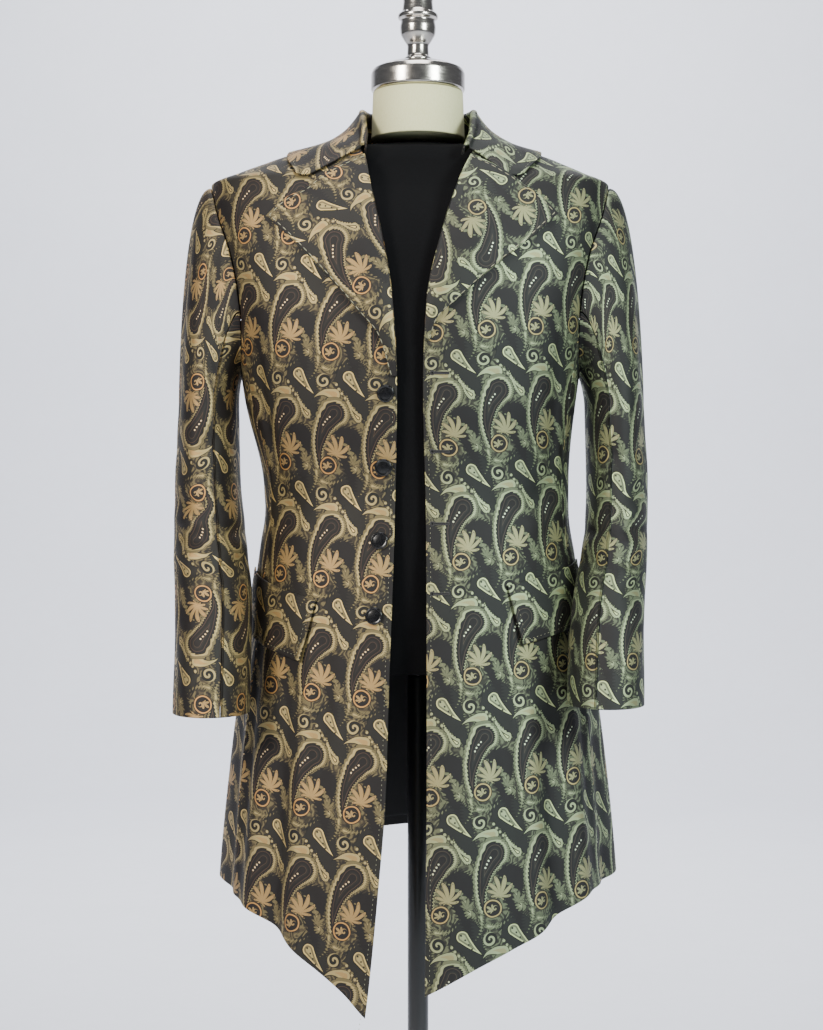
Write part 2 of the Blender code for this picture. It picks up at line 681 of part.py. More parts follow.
def collar_point(around, down):
    """The collar from its stand's foot at -1, over the fold at 0, to the fall's edge at 1."""
    share = np.abs(around)
    side = np.sign(around)
    stand, fold, edge = [], [], []
    for column in (1, 2, 3):
        stand.append(smooth(COLLAR, column, share))
        fold.append(smooth(COLLAR, column + 3, share))
    for column in (7, 8):
        edge.append(smooth(COLLAR, column, share))
    out_x = edge[0] - fold[0]
    out_y = edge[1] - fold[1]
    span = np.hypot(out_x, out_y)
    out_x = out_x / span
    out_y = out_y / span
    turn = np.clip(down / FOLD_SHARE, -1.0, 1.0) * math.pi / 2.0
    drop = COLLAR_ROLL * (1.0 - np.cos(turn))
    shift = COLLAR_ROLL * np.sin(turn)
    rise = np.clip((-down - FOLD_SHARE) / (1.0 - FOLD_SHARE), 0.0, 1.0)
    fall = np.clip((down - FOLD_SHARE) / (1.0 - FOLD_SHARE), 0.0, 1.0)
    x = fold[0] + shift * out_x
    y = fold[1] + shift * out_y
    z = fold[2] - drop
    stand_x = x + rise * (stand[0] - x)
    stand_y = y + rise * (stand[1] - y)
    stand_z = z + rise * (stand[2] - z)
    fall_x = x + fall * (edge[0] - x)
    nose = COLLAR_NOSE * ease((share - COLLAR_NOSE_START) / (1.0 - COLLAR_NOSE_START))
    fall_y = y + fall * (edge[1] - y) - nose * np.sin(math.pi * fall**2)
    start_x, start_y, start_z = yoke_point(x, y, COLLAR_LIFT)
    hold = (1.0 - fall) ** 3
    fall_x, fall_y, fall_z = yoke_point(fall_x, fall_y, COLLAR_LIFT)
    fall_x = fall_x + (x - start_x) * hold
    fall_y = fall_y + (y - start_y) * hold
    fall_z = fall_z + (z - start_z) * hold
    in_stand = down < -FOLD_SHARE
    in_fall = down > FOLD_SHARE
    x = np.where(in_stand, stand_x, np.where(in_fall, fall_x, x))
    y = np.where(in_stand, stand_y, np.where(in_fall, fall_y, y))
    z = np.where(in_stand, stand_z, np.where(in_fall, fall_z, z))
    return np.stack((side * x + smooth(BODY_SECTIONS, 5, z), y, z), axis=-1)


FOLD_SHARE = 0.08
COLLAR_AROUND = np.linspace(-1.0, 1.0, 27)
COLLAR_DOWN = np.array((-1.0, -0.54, -0.08, -0.03, 0.03, 0.08, 0.26, 0.46, 0.72, 1.0))


def make_collar(material):
    """The collar: a stand round the neck, rolled over into a fall that lies on the shoulders."""
    down, around = grid(COLLAR_DOWN, COLLAR_AROUND)
    outer = collar_point(around, down)
    normal = cross_normal(collar_point, around, down, 0.004, 0.01)
    upward = normal[len(COLLAR_DOWN) // 2 + 3, :, 2]
    normal = normal * np.sign(np.sum(upward))
    return make_wall("collar", outer, normal, COAT_WALL, material)


def lapel_net(side, up, across):
    """Place across and height of a lapel's grid: from its roll line to its outer edge."""
    edge_column = 1 if side == RIGHT else 2
    outer = LAPEL_OUTER[side]
    upper = LAPEL_UPPER[side]
    inner_height = LAPEL_BREAK[side] + up * (LAPEL_TOP - LAPEL_BREAK[side])
    inner_across = np.abs(smooth(FRONT_EDGE, edge_column, inner_height)) + 0.0006
    outer_across = smooth(outer, 1, up)
    outer_height = smooth(outer, 2, up)
    straight_across = inner_across + across * (outer_across - inner_across)
    straight_height = inner_height + across * (outer_height - inner_height)
    top_across = smooth(upper, 1, across)
    top_height = smooth(upper, 2, across)
    end_across = inner_across[-1, 0] + across * (outer[-1][1] - inner_across[-1, 0])
    end_height = LAPEL_TOP + across * (outer[-1][2] - LAPEL_TOP)
    pull = up**4
    return straight_across + pull * (top_across - end_across), straight_height + pull * (top_height - end_height)


LAPEL_ROWS = np.linspace(0.0, 1.0, 13)
LAPEL_COLUMNS = np.array((0.0, 0.14, 0.28, 0.39, 0.50, 0.60, 0.80, 1.0))


def make_lapel(side, material):
    """A wide peaked lapel, turned back over its front panel."""
    up, across = grid(LAPEL_ROWS, LAPEL_COLUMNS)
    place, height = lapel_net(side, up, across)
    angle = side * angle_at(side * place, height, side)
    normal = body_normal(angle, height)
    lift = LAPEL_SEAT + COAT_WALL + LAPEL_BLOOM * np.sin(math.pi * across) * ease(up * 3.0)
    outer = body_point(angle, height) + normal * lift[..., None]
    return make_wall("lapel_" + SIDE_NAMES[side], outer, normal, COAT_WALL, material)


def make_flap(side, material):
    """A pocket flap, laid on the front and side panels, its front end standing off a little."""
    flap = FLAPS[side]
    down, across = grid(np.linspace(0.0, 1.0, 5), np.linspace(0.0, 1.0, 9))
    top = flap.front_top + across * (flap.outer_top - flap.front_top)
    low = flap.front_low + across * (flap.outer_low - flap.front_low)
    height = low + (1.0 - down) * (top - low)
    front = angle_at(side * (flap.front_x + FLAP_SLANT * down), height, side)
    angle = side * (front + across * (flap.outer_angle - front))
    normal = body_normal(angle, height)
    lift = FLAP_SEAT + COAT_WALL + FLAP_STAND * down * (1.0 - across) ** 2
    outer = body_point(angle, height) + normal * lift[..., None]
    return make_wall("pocket_flap_" + SIDE_NAMES[side], outer, normal, COAT_WALL, material)


def make_button(number, across, height, seat, material):
    """A domed button with a rolled rim, its back just clear of the right front."""
    angle = np.array(-angle_at(across, height, RIGHT))
    normal = body_normal(angle, np.array(height))
    centre = body_point(angle, np.array(height)) + normal * seat
    level = np.cross(np.array((0.0, 0.0, 1.0)), normal)
    level = level / np.linalg.norm(level)
    upright = np.cross(normal, level)

    def place(points):
        return centre + points[:, :1] * level + points[:, 1:2] * upright + points[:, 2:] * normal

    return make_turned("button_" + str(number), BUTTON_PROFILE, BUTTON_SIDES, material, place)


FORM_COLUMNS = 30
FORM_ROWS = np.concatenate((np.linspace(FORM_BOTTOM, 1.40, 10), np.array((1.42, 1.436, 1.450, 1.462, 1.473, 1.4835))))


def make_torso(material):
    """The limbless torso: rings inside the coat, closed at the bottom and at the neck."""
    height, around = grid(FORM_ROWS, np.arange(FORM_COLUMNS) * 360.0 / FORM_COLUMNS + 5.0)
    half_width, front, back, squareness, centre_x = ring_at(height)
    sine = np.sin(np.radians(around))
    cosine = np.cos(np.radians(around))
    power = 2.0 / squareness
    depth = np.where(cosine > 0.0, front, back)
    across = half_width * np.sign(sine) * np.abs(sine) ** power
    along = -depth * np.sign(cosine) * np.abs(cosine) ** power
    plain = np.stack((centre_x + across, along, height), axis=-1)
    normal = body_normal(around, height)
    hollow = ease((height - FORM_HOLLOW_LOW) / (FORM_HOLLOW_HIGH - FORM_HOLLOW_LOW))
    inset = smooth(FORM_INSETS, 1, height) + FORM_NECK_HOLLOW * hollow * np.clip(cosine, 0.0, 1.0) ** 2
    rings = plain - normal * inset[..., None]
    points = rings.reshape(-1, 3)
    count = len(FORM_ROWS)
    ends = np.array(((0.0, 0.0, FORM_BOTTOM - FORM_DISH), (0.0, 0.0, NECK_BOTTOM - 0.0005)))
    points = np.concatenate((points, ends))
    bottom = count * FORM_COLUMNS
    faces = []
    for side in range(FORM_COLUMNS):
        after = (side + 1) % FORM_COLUMNS
        faces.append((bottom, after, side))
        for row in range(count - 1):
            low = row * FORM_COLUMNS
            high = low + FORM_COLUMNS
            faces.append((low + side, low + after, high + after, high + side))
        top = (count - 1) * FORM_COLUMNS
        faces.append((bottom + 1, top + side, top + after))
    return make_object("form_torso", points, faces, material)


FORM_DISH = 0.012
ROUND_SIDES = 32


def make_stand(cloth, metal, enamel):
    """The neck, its cap and finial above the torso, and the pole and base below it."""
    neck = ((0.0, NECK_BOTTOM), (NECK_RADIUS, NECK_BOTTOM), (NECK_RADIUS - 0.002, NECK_TOP), (0.0, NECK_TOP))
    make_turned("form_neck", neck, ROUND_SIDES, cloth)
    make_turned("neck_cap", CAP_PROFILE, ROUND_SIDES, metal)
    make_turned("finial", FINIAL_PROFILE, 20, metal)
    top = FORM_BOTTOM - FORM_DISH - LAYER_GAP
    pole = ((0.0, POLE_BOTTOM), (POLE_RADIUS, POLE_BOTTOM), (POLE_RADIUS, top), (0.0, top))
    make_turned("pole", pole, 20, enamel)
    make_turned("base", BASE_PROFILE, 40, enamel)


def main():
    """Clear the scene and build every piece of the coat and its form."""
    for item in list(bpy.data.objects):
        bpy.data.objects.remove(item)
    brocade = make_material("brocade", (0.085, 0.075, 0.060), 0.45)
    lining = make_material("lining", (0.012, 0.012, 0.014), 0.40)
    button = make_material("button", (0.010, 0.010, 0.012), 0.18)
    jersey = make_material("jersey", (0.020, 0.020, 0.022), 0.85)
    neck_cloth = make_material("neck_cloth", (0.72, 0.72, 0.42), 0.80)
    metal = make_material("polished_metal", (0.62, 0.60, 0.57), 0.18, 1.0)
    enamel = make_material("black_enamel", (0.012, 0.012, 0.013), 0.35)
    for side in (RIGHT, LEFT):
        make_front(side, brocade)
        make_side(side, brocade)
        make_back(side, brocade)
        make_lining(side, lining)
        make_sleeve(side, brocade)
        make_lapel(side, brocade)
        make_flap(side, brocade)
    make_collar(brocade)
    for number, (across, height, seat) in enumerate(BUTTONS, start=1):
        make_button(number, across, height, seat, button)
    make_torso(jersey)
    make_stand(neck_cloth, metal, enamel)


main()
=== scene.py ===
"""The looks of an open brocade frock coat that stands on a limbless tailor's form.

Every cloth piece is a thin shell with a rounded rim on the same surface as its CAD solid.
Soft creases, hand stitching, worked buttonholes and a drawn paisley weave are added here.
Metres, +Z up, the front faces -Y, and right and left are the wearer's.
"""

import logging
import math
from dataclasses import dataclass
from enum import Enum
from typing import Callable, Sequence

import bpy
import numpy as np
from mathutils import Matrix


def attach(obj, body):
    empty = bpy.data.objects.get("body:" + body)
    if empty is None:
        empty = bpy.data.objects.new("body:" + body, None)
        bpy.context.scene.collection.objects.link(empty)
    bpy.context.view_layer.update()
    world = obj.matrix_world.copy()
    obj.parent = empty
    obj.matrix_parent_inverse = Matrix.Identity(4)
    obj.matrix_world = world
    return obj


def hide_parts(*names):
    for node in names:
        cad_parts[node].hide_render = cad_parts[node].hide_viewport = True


Array = np.ndarray
Object = bpy.types.Object
Material = bpy.types.Material
Tree = bpy.types.NodeTree
Socket = bpy.types.NodeSocket
LOG = logging.getLogger("coat")
WALL = 0.0022
LINING_GAP = 0.0005
SHARP = math.radians(50.0)

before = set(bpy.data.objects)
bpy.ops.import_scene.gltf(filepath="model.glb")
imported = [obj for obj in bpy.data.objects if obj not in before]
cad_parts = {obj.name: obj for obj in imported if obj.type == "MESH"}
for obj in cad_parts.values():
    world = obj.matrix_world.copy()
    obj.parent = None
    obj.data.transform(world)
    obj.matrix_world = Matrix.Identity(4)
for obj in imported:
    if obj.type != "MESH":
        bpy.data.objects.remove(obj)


class Side(Enum):
    """The wearer's right or left, with the sign of its X."""

    RIGHT = -1
    LEFT = 1

    @property
    def word(self) -> str:
        """The side's name in piece names."""
        return self.name.lower()


class Slot(Enum):
    """The material slots of the record."""

    BROCADE = "brocade"
    LINING = "lining"
    BUTTON = "button"
    JERSEY = "jersey"
    NECK = "neck_cloth"
    METAL = "polished_metal"
    ENAMEL = "black_enamel"


def ease(t: Array) -> Array:
    """Smooth step from 0 to 1."""
    t = np.clip(t, 0.0, 1.0)
    return t * t * (3.0 - 2.0 * t)


def unit(vectors: Array) -> Array:
    """Vectors scaled to length one."""
    return vectors / np.maximum(np.linalg.norm(vectors, axis=-1, keepdims=True), 1e-12)


def smooth(table: Sequence, column: int, at: Array) -> Array:
    """Read one column of a table at any place, by a cubic that never overshoots its rows.

    Args:
        table: Rows of numbers, the first of each being the place it stands for.
        column: The column to read.
        at: The places to read it at.

    Returns:
        The column's value at each place.
    """
    rows = np.array(table, dtype=float)
    knots, values = rows[:, 0], rows[:, column]
    step = np.diff(knots)
    slope = np.diff(values) / step
    product = slope[:-1] * slope[1:]
    first = 2.0 * step[1:] + step[:-1]
    second = step[1:] + 2.0 * step[:-1]
    mixed = np.where(product > 0.0, first * slope[1:] + second * slope[:-1], 1.0)
    tangent = np.empty_like(values)
    tangent[0], tangent[-1] = slope[0], slope[-1]
    tangent[1:-1] = np.where(product > 0.0, (first + second) * product / mixed, 0.0)
    place = np.clip(np.asarray(at, dtype=float), knots[0], knots[-1])
    cell = np.clip(np.searchsorted(knots, place, side="right") - 1, 0, len(step) - 1)
    t = (place - knots[cell]) / step[cell]
    rise = step[cell]
    start = values[cell] * (2.0 * t**3 - 3.0 * t**2 + 1.0) + tangent[cell] * rise * (t**3 - 2.0 * t**2 + t)
    end = values[cell + 1] * (3.0 * t**2 - 2.0 * t**3) + tangent[cell + 1] * rise * (t**3 - t**2)
    return start + end


def net(rows: Array, columns: Array) -> tuple[Array, Array]:
    """Two arrays of shares, down the rows and across the columns."""
    return tuple(np.meshgrid(np.asarray(rows, float), np.asarray(columns, float), indexing="ij"))


def spread(count: int, edge: float = 0.004) -> Array:
    """Even shares from 0 to 1, with one more close to each end to hold the rim's shape."""
    even = np.linspace(0.0, 1.0, count)
    return np.unique(np.concatenate((even, (edge, 1.0 - edge))))


# How much deeper the cloth's creases are than their rows say.
FOLD = 1.7


def relief(creases: Sequence, a: Array, b: Array) -> Array:
    """Sum of soft creases, each a bell across and a bell along, all deepened by FOLD.

    Args:
        creases: A row for each ridge, or trough where its depth is negative: its place a and b, its half
            widths along each, its depth, and its lean, which moves its middle along a for each unit of b.
        a: First coordinate of the surface.
        b: Second coordinate of the surface.

    Returns:
        How far the cloth stands out at each place.
    """
    table = np.array(creases)
    off_b = b[..., None] - table[:, 1]
    off_a = a[..., None] - table[:, 0] - table[:, 5] * off_b
    bells = FOLD * table[:, 4] * np.exp(-((off_a / table[:, 2]) ** 2) - (off_b / table[:, 3]) ** 2)
    return bells.sum(axis=-1)


# The coat's body: height, half width, front, back, squareness and middle of each ring.
RINGS = (
    (0.44, 0.242, 0.176, 0.176, 2.05, 0.0),
    (0.61, 0.2315, 0.168, 0.168, 2.05, 0.0),
    (0.72, 0.2225, 0.159, 0.16, 2.05, 0.0),
    (0.81, 0.214, 0.15, 0.152, 2.05, 0.0),
    (0.945, 0.1955, 0.139, 0.136, 2.1, -0.001),
    (1.07, 0.182, 0.128, 0.115, 2.25, -0.002),
    (1.18, 0.198, 0.141, 0.123, 2.45, -0.009),
    (1.252, 0.2085, 0.145, 0.128, 2.55, -0.0095),
    (1.34, 0.226, 0.137, 0.124, 2.6, -0.0095),
    (1.4, 0.238, 0.118, 0.113, 2.5, -0.0095),
    (1.432, 0.2375, 0.103, 0.102, 2.4, -0.0095),
    (1.445, 0.21, 0.096, 0.097, 2.3, -0.008),
    (1.455, 0.185, 0.091, 0.093, 2.25, -0.006),
    (1.465, 0.158, 0.086, 0.089, 2.2, -0.004),
    (1.475, 0.115, 0.08, 0.085, 2.1, -0.002),
    (1.485, 0.085, 0.073, 0.08, 2.0, 0.0),
    (1.5, 0.062, 0.06, 0.066, 2.0, 0.0),
)
# The skirts' flutes: angle, half angle, depth, and the heights where each is full and where it ends.
FLUTES = (
    (-36.0, 5.0, 0.0055, 0.62, 0.98),
    (-45.0, 4.5, -0.005, 0.62, 0.95),
    (-56.0, 5.5, 0.006, 0.66, 0.93),
    (-76.0, 6.0, -0.006, 0.64, 0.98),
    (-92.0, 7.0, 0.007, 0.62, 1.0),
    (-118.0, 7.0, -0.0065, 0.66, 1.02),
    (-134.0, 7.5, 0.007, 0.62, 0.96),
    (-160.0, 7.0, -0.005, 0.68, 0.92),
    (34.0, 5.0, 0.0045, 0.6, 0.93),
    (43.0, 4.5, -0.0055, 0.62, 0.97),
    (54.0, 5.0, 0.006, 0.66, 0.95),
    (74.0, 6.0, -0.0065, 0.62, 1.0),
    (89.0, 7.0, 0.0065, 0.64, 0.96),
    (115.0, 7.0, -0.006, 0.62, 1.0),
    (131.0, 7.5, 0.0075, 0.66, 1.03),
    (158.0, 7.5, -0.0055, 0.64, 0.94),
)
# Soft creases of the body, by signed angle in degrees and height in metres.
BODY_CREASES = (
    (-58.0, 1.17, 5.0, 0.07, -0.0022, 30.0), (-64.0, 1.105, 4.0, 0.055, 0.0018, 25.0),
    (-50.0, 1.05, 9.0, 0.016, -0.0016, 40.0), (-47.0, 1.085, 8.0, 0.014, 0.0012, 60.0),
    (-24.0, 1.055, 6.0, 0.02, -0.001, 90.0), (-30.0, 0.8, 3.0, 0.12, -0.0018, 8.0),
    (-63.0, 0.76, 3.5, 0.14, -0.002, -10.0), (-68.0, 0.7, 2.5, 0.09, 0.0014, -6.0),
    (-84.0, 1.04, 7.0, 0.018, -0.0018, 0.0), (-100.0, 1.075, 8.0, 0.016, 0.0014, -30.0),
    (-108.0, 1.01, 7.0, 0.024, -0.0016, 20.0), (-150.0, 1.06, 9.0, 0.018, -0.0016, 30.0),
    (-140.0, 1.11, 8.0, 0.02, 0.0014, -40.0), (-146.0, 1.26, 6.0, 0.08, -0.0018, 25.0),
    (-146.0, 0.78, 3.5, 0.13, -0.0016, 4.0), (56.0, 1.175, 5.0, 0.065, -0.002, -35.0),
    (62.0, 1.11, 4.0, 0.05, 0.0017, -20.0), (49.0, 1.06, 9.0, 0.017, -0.0018, -45.0),
    (44.0, 1.025, 7.0, 0.013, 0.0012, -20.0), (27.0, 1.045, 6.0, 0.022, -0.0011, -80.0),
    (26.0, 0.76, 3.0, 0.13, -0.0016, -8.0), (63.0, 0.78, 3.0, 0.12, -0.0018, 10.0),
    (82.0, 1.03, 7.0, 0.019, -0.0019, 10.0), (99.0, 1.08, 8.0, 0.015, 0.0013, 40.0),
    (107.0, 1.0, 7.0, 0.022, -0.0015, -20.0), (149.0, 1.05, 9.0, 0.019, -0.0017, -25.0),
    (141.0, 1.12, 8.0, 0.018, 0.0013, 35.0), (147.0, 1.25, 6.0, 0.085, -0.0017, -20.0),
    (144.0, 0.8, 3.5, 0.12, -0.0017, -4.0),
)


class Body:
    """The surface of the coat's body, by signed angle from the centre front and height."""

    TABLE_HEIGHTS = (0.43, 1.5, 215)
    GRAIN_LEVEL = 1.2
    STEP_ANGLE = 0.25
    STEP_HEIGHT = 0.0005

    def __init__(self) -> None:
        """Measure the surface once, so that any place on it has a place in the flat cloth."""
        self.heights = np.linspace(*self.TABLE_HEIGHTS)
        self.angles = np.linspace(0.0, 180.0, 181)
        height, angle = net(self.heights, self.angles)
        points = self.plain(angle, height)
        across = np.linalg.norm(np.diff(points, axis=1), axis=-1)
        along = np.linalg.norm(np.diff(points, axis=0), axis=-1)
        self.across = np.concatenate((np.zeros((len(height), 1)), np.cumsum(across, axis=1)), axis=1)
        rise = np.concatenate((np.zeros((1, angle.shape[1])), np.cumsum(along, axis=0)))
        level = np.argmin(np.abs(self.heights - self.GRAIN_LEVEL))
        self.along = rise - rise[level] + self.heights[level]

    @staticmethod
    def ring(height: Array) -> tuple[Array, ...]:
        """Half width, front, back, squareness and middle of the ring at a height."""
        return tuple(smooth(RINGS, column, height) for column in range(1, 6))

    def bare(self, angle: Array, height: Array) -> tuple[Array, Array, Array]:
        """The ring without its flutes: a squared ellipse with its two halves of different depth.

        Args:
            angle: Signed angles, in degrees.
            height: Heights.

        Returns:
            The ring's middle, and the places across and along from it.
        """
        half_width, front, back, squareness, middle = self.ring(height)
        sine, cosine = np.sin(np.radians(angle)), np.cos(np.radians(angle))
        power = 2.0 / squareness
        depth = np.where(cosine > 0.0, front, back)
        across = half_width * np.sign(sine) * np.abs(sine) ** power
        return middle, across, -depth * np.sign(cosine) * np.abs(cosine) ** power

    @staticmethod
    def flutes(angle: Array, height: Array) -> Array:
        """How far the skirts' flutes stand out: bells round the ring, full at the hem.

        Args:
            angle: Signed angles, in degrees.
            height: Heights.

        Returns:
            How far out at each place.
        """
        rows = np.array(FLUTES)
        bells = np.exp(-(((angle[..., None] - rows[:, 0]) / rows[:, 1]) ** 2))
        fade = ease((rows[:, 4] - height[..., None]) / (rows[:, 4] - rows[:, 3]))
        return (rows[:, 2] * bells * fade).sum(axis=-1)

    def plain(self, angle: Array, height: Array) -> Array:
        """The CAD surface: a squared ellipse with its two halves of different depth, and the flutes.

        Args:
            angle: Signed angles, in degrees.
            height: Heights.

        Returns:
            Points.
        """
        angle, height = np.broadcast_arrays(np.asarray(angle, float), np.asarray(height, float))
        middle, across, along = self.bare(angle, height)
        swell = 1.0 + self.flutes(angle, height) / np.hypot(across, along)
        return np.stack((middle + across * swell, along * swell, height), axis=-1)

    def normal(self, angle: Array, height: Array) -> Array:
        """Outward normal, from small steps along each parameter.

        Args:
            angle: Signed angles, in degrees.
            height: Heights.

        Returns:
            Directions of length one.
        """
        angle, height = np.broadcast_arrays(np.asarray(angle, float), np.asarray(height, float))
        turn, rise = self.STEP_ANGLE, self.STEP_HEIGHT
        round_it = self.plain(angle + turn, height) - self.plain(angle - turn, height)
        up_it = self.plain(angle, height + rise) - self.plain(angle, height - rise)
        return unit(np.cross(round_it, up_it))

    def point(self, angle: Array, height: Array, lift: Array | float = 0.0) -> Array:
        """The dressed surface: the CAD surface moved along its normal by the creases and a lift.

        Args:
            angle: Signed angles, in degrees.
            height: Heights.
            lift: How far to stand off.

        Returns:
            Points.
        """
        angle, height = np.broadcast_arrays(np.asarray(angle, float), np.asarray(height, float))
        move = relief(BODY_CREASES, angle, height) + lift
        return self.plain(angle, height) + self.normal(angle, height) * move[..., None]

    def angle_at(self, across: Array, height: Array, side: Side) -> Array:
        """Angle from the centre front where the front passes a given place across.

        Args:
            across: Places across.
            height: Heights.
            side: The side of the coat.

        Returns:
            Angles without a sign, in degrees.
        """
        half_width, _, _, squareness, middle = self.ring(height)
        ratio = np.clip(side.value * (across - middle) / half_width, 0.0, 1.0)
        return np.degrees(np.arcsin(ratio ** (squareness / 2.0)))

    def reach(self, along: Array, height: Array) -> Array:
        """How far out to the side the body reaches at a place along the depth and a height.

        Args:
            along: Places along the depth.
            height: Heights.

        Returns:
            Half widths.
        """
        half_width, front, back, squareness, _ = self.ring(height)
        depth = np.where(along < 0.0, front, back)
        share = np.clip(np.abs(along) / depth, 0.0, 1.0)
        return half_width * (1.0 - share**squareness) ** (1.0 / squareness)

    def flat(self, angle: Array, height: Array) -> Array:
        """Place in the flat cloth: arc length from the centre front, and length up the cloth.

        Args:
            angle: Signed angles, in degrees.
            height: Heights.

        Returns:
            Pairs of metres across and up, read from the measured table between its nearest four places.
        """
        row = np.clip((height - self.heights[0]) / (self.heights[1] - self.heights[0]), 0.0, len(self.heights) - 1.001)
        column = np.clip(np.abs(angle), 0.0, 179.999)
        low, first = row.astype(int), column.astype(int)
        up, over = row - low, column - first
        pair = []
        for table in (self.across, self.along):
            lower = table[low, first] * (1.0 - over) + table[low, first + 1] * over
            upper = table[low + 1, first] * (1.0 - over) + table[low + 1, first + 1] * over
            pair.append(lower * (1.0 - up) + upper * up)
        return np.stack((np.sign(angle) * pair[0], pair[1]), axis=-1)


BODY = Body()


@dataclass(frozen=True)
class Lay:
    """How the cloth's pattern lies on a piece: where one motif stands, and its turn in degrees."""

    across: float = 0.0
    up: float = 0.0
    turn: float = 0.0

    def place(self, flat: Array) -> Array:
        """Flat places moved and turned into the pattern's own axes.

        Args:
            flat: Pairs of metres across and up.

        Returns:
            Pairs in those axes.
        """
        angle = math.radians(self.turn)
        off = flat - np.array((self.across, self.up))
        spin = np.array(((math.cos(angle), -math.sin(angle)), (math.sin(angle), math.cos(angle))))
        return off @ spin


def make_piece(
    name: str, points: Array, faces: list, materials: Sequence, uv: Array | None = None, kinds: Array | None = None
) -> Object:
    """Put one mesh at the origin, shaded smooth.

    Args:
        name: The piece's name.
        points: Its vertices.
        faces: Its faces, as lists of vertex numbers.
        materials: Its materials.
        uv: A place in the cloth for each vertex.
        kinds: A material number for each face.

    Returns:
        The new object, riding on the part.
    """
    mesh = bpy.data.meshes.new(name)
    mesh.from_pydata(np.asarray(points, float).reshape(-1, 3), [], faces)
    for material in materials:
        mesh.materials.append(material)
    if uv is not None:
        layer = mesh.uv_layers.new(name="Cloth")
        corner = np.empty(len(mesh.loops), dtype=np.int32)
        mesh.loops.foreach_get("vertex_index", corner)
        layer.data.foreach_set("uv", uv[corner].astype(np.float32).ravel())
    if kinds is not None:
        mesh.polygons.foreach_set("material_index", kinds.astype(np.int32))
    mesh.shade_smooth()
    mesh.update()
    item = bpy.data.objects.new(name, mesh)
    bpy.context.scene.collection.objects.link(item)
    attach(item, "root")
    LOG.info("%s: %d faces", name, len(mesh.polygons))
    return item


def grid_faces(index: Array) -> Array:
    """The quads of a grid of vertex numbers."""
    quads = np.stack((index[:-1, :-1], index[:-1, 1:], index[1:, 1:], index[1:, :-1]), axis=-1)
    return quads.reshape(-1, 4)


@dataclass(frozen=True)
class Shell:
    """A wall of cloth: its thickness, and how far its rim is rounded back."""

    thickness: float = WALL
    rim: float = 0.0008
    steps: int = 3

    def build(
        self, name: str, outer: Array, outward: Array, flat: Array, materials: Sequence, inner_kind: Array | int = 0
    ) -> Object:
        """Close a grid of outer points into a shell with a half-round rim.

        The rim at a turn t leaves the edge by rim * (1 - sin t) and the outer face by half the wall * (1 - cos t).

        Args:
            name: The piece's name.
            outer: Rows and columns of points on the outer face.
            outward: A direction at each point that the outer face looks towards.
            flat: The place of each point in the pattern.
            materials: The piece's materials.
            inner_kind: Material number of the inner face's quads.

        Returns:
            The new object.
        """
        rows, columns = outer.shape[:2]
        normal = unit(np.cross(np.gradient(outer, axis=1), np.gradient(outer, axis=0)))
        turned = np.sum(normal * outward) < 0.0
        normal = -normal if turned else normal
        index = np.arange(rows * columns).reshape(rows, columns)
        row, column = np.divmod(index, columns)
        beside = index[np.clip(row, 1, rows - 2), np.clip(column, 1, columns - 2)]
        loop = np.concatenate((index[0, :-1], index[:-1, -1], index[-1, :0:-1], index[:0:-1, 0]))
        points = outer.reshape(-1, 3)
        normals = normal.reshape(-1, 3)
        edge = points[loop] - points[beside.ravel()[loop]]
        edge = unit(edge - np.sum(edge * normals[loop], axis=-1, keepdims=True) * normals[loop])
        face = points.copy()
        face[loop] -= edge * self.rim
        back = face - normals * self.thickness
        turns = np.linspace(0.0, math.pi, self.steps + 2)[1:-1, None, None]
        rims = (
            points[loop]
            - edge * self.rim * (1.0 - np.sin(turns))
            - normals[loop] * 0.5 * self.thickness * (1.0 - np.cos(turns))
        )
        count = rows * columns
        first = 2 * count + np.arange(self.steps * len(loop)).reshape(self.steps, -1)
        rings = np.concatenate((loop[None], first, loop[None] + count))
        rings = np.concatenate((rings, rings[:, :1]), axis=1)
        front = grid_faces(index)
        behind = grid_faces(index + count)[:, ::-1]
        rim = grid_faces(rings)[:, ::-1]
        faces = np.concatenate((front, behind, rim))
        faces = faces[:, ::-1] if turned else faces
        kinds = np.zeros(len(faces), dtype=np.int32)
        kinds[len(front) : len(front) + len(behind)] = inner_kind
        places = flat.reshape(-1, 2)
        uv = np.concatenate((places, places, np.tile(places[loop], (self.steps, 1))))
        every = np.concatenate((face, back, rims.reshape(-1, 3)))
        return make_piece(name, every, faces.tolist(), materials, uv, kinds)


@dataclass(frozen=True)
class Cut:
    """The flat cut of a piece: its width, its length and its area."""

    width: float
    length: float
    area: float

    def declare(self, item: Object, held: str, rests_on: Sequence[str]) -> None:
        """Take a piece and do nothing with it."""


# The seams, the armhole between them, the hems and the front edges.
SEAM_ANGLE = 0.06
FRONT_SEAM = 68.0
BACK_SEAM = 112.0
ARM_HEIGHT = 1.318
ARM_RISE = 0.114
ARM_ANGLE = 27.0
NECK_HEIGHT = 1.485
SEAM_TURN = math.degrees(math.asin((90.0 - FRONT_SEAM) / ARM_ANGLE))
UNDERARM_TURN = 180.0 - SEAM_TURN
UNDERARM = ARM_HEIGHT - ARM_RISE * math.cos(math.radians(SEAM_TURN))
TIP_HEIGHT = ARM_HEIGHT + ARM_RISE
HEMS = {
    Side.RIGHT: (
        (0.0, 0.44), (14.0, 0.48), (20.0, 0.505), (31.0, 0.537), (43.0, 0.569),
        (63.0, 0.595), (82.0, 0.604), (120.0, 0.622), (180.0, 0.645),
    ),
    Side.LEFT: (
        (0.0, 0.502), (4.0, 0.51), (16.0, 0.535), (25.0, 0.551), (36.0, 0.571),
        (47.0, 0.591), (58.0, 0.606), (82.0, 0.613), (120.0, 0.632), (180.0, 0.662),
    ),
}
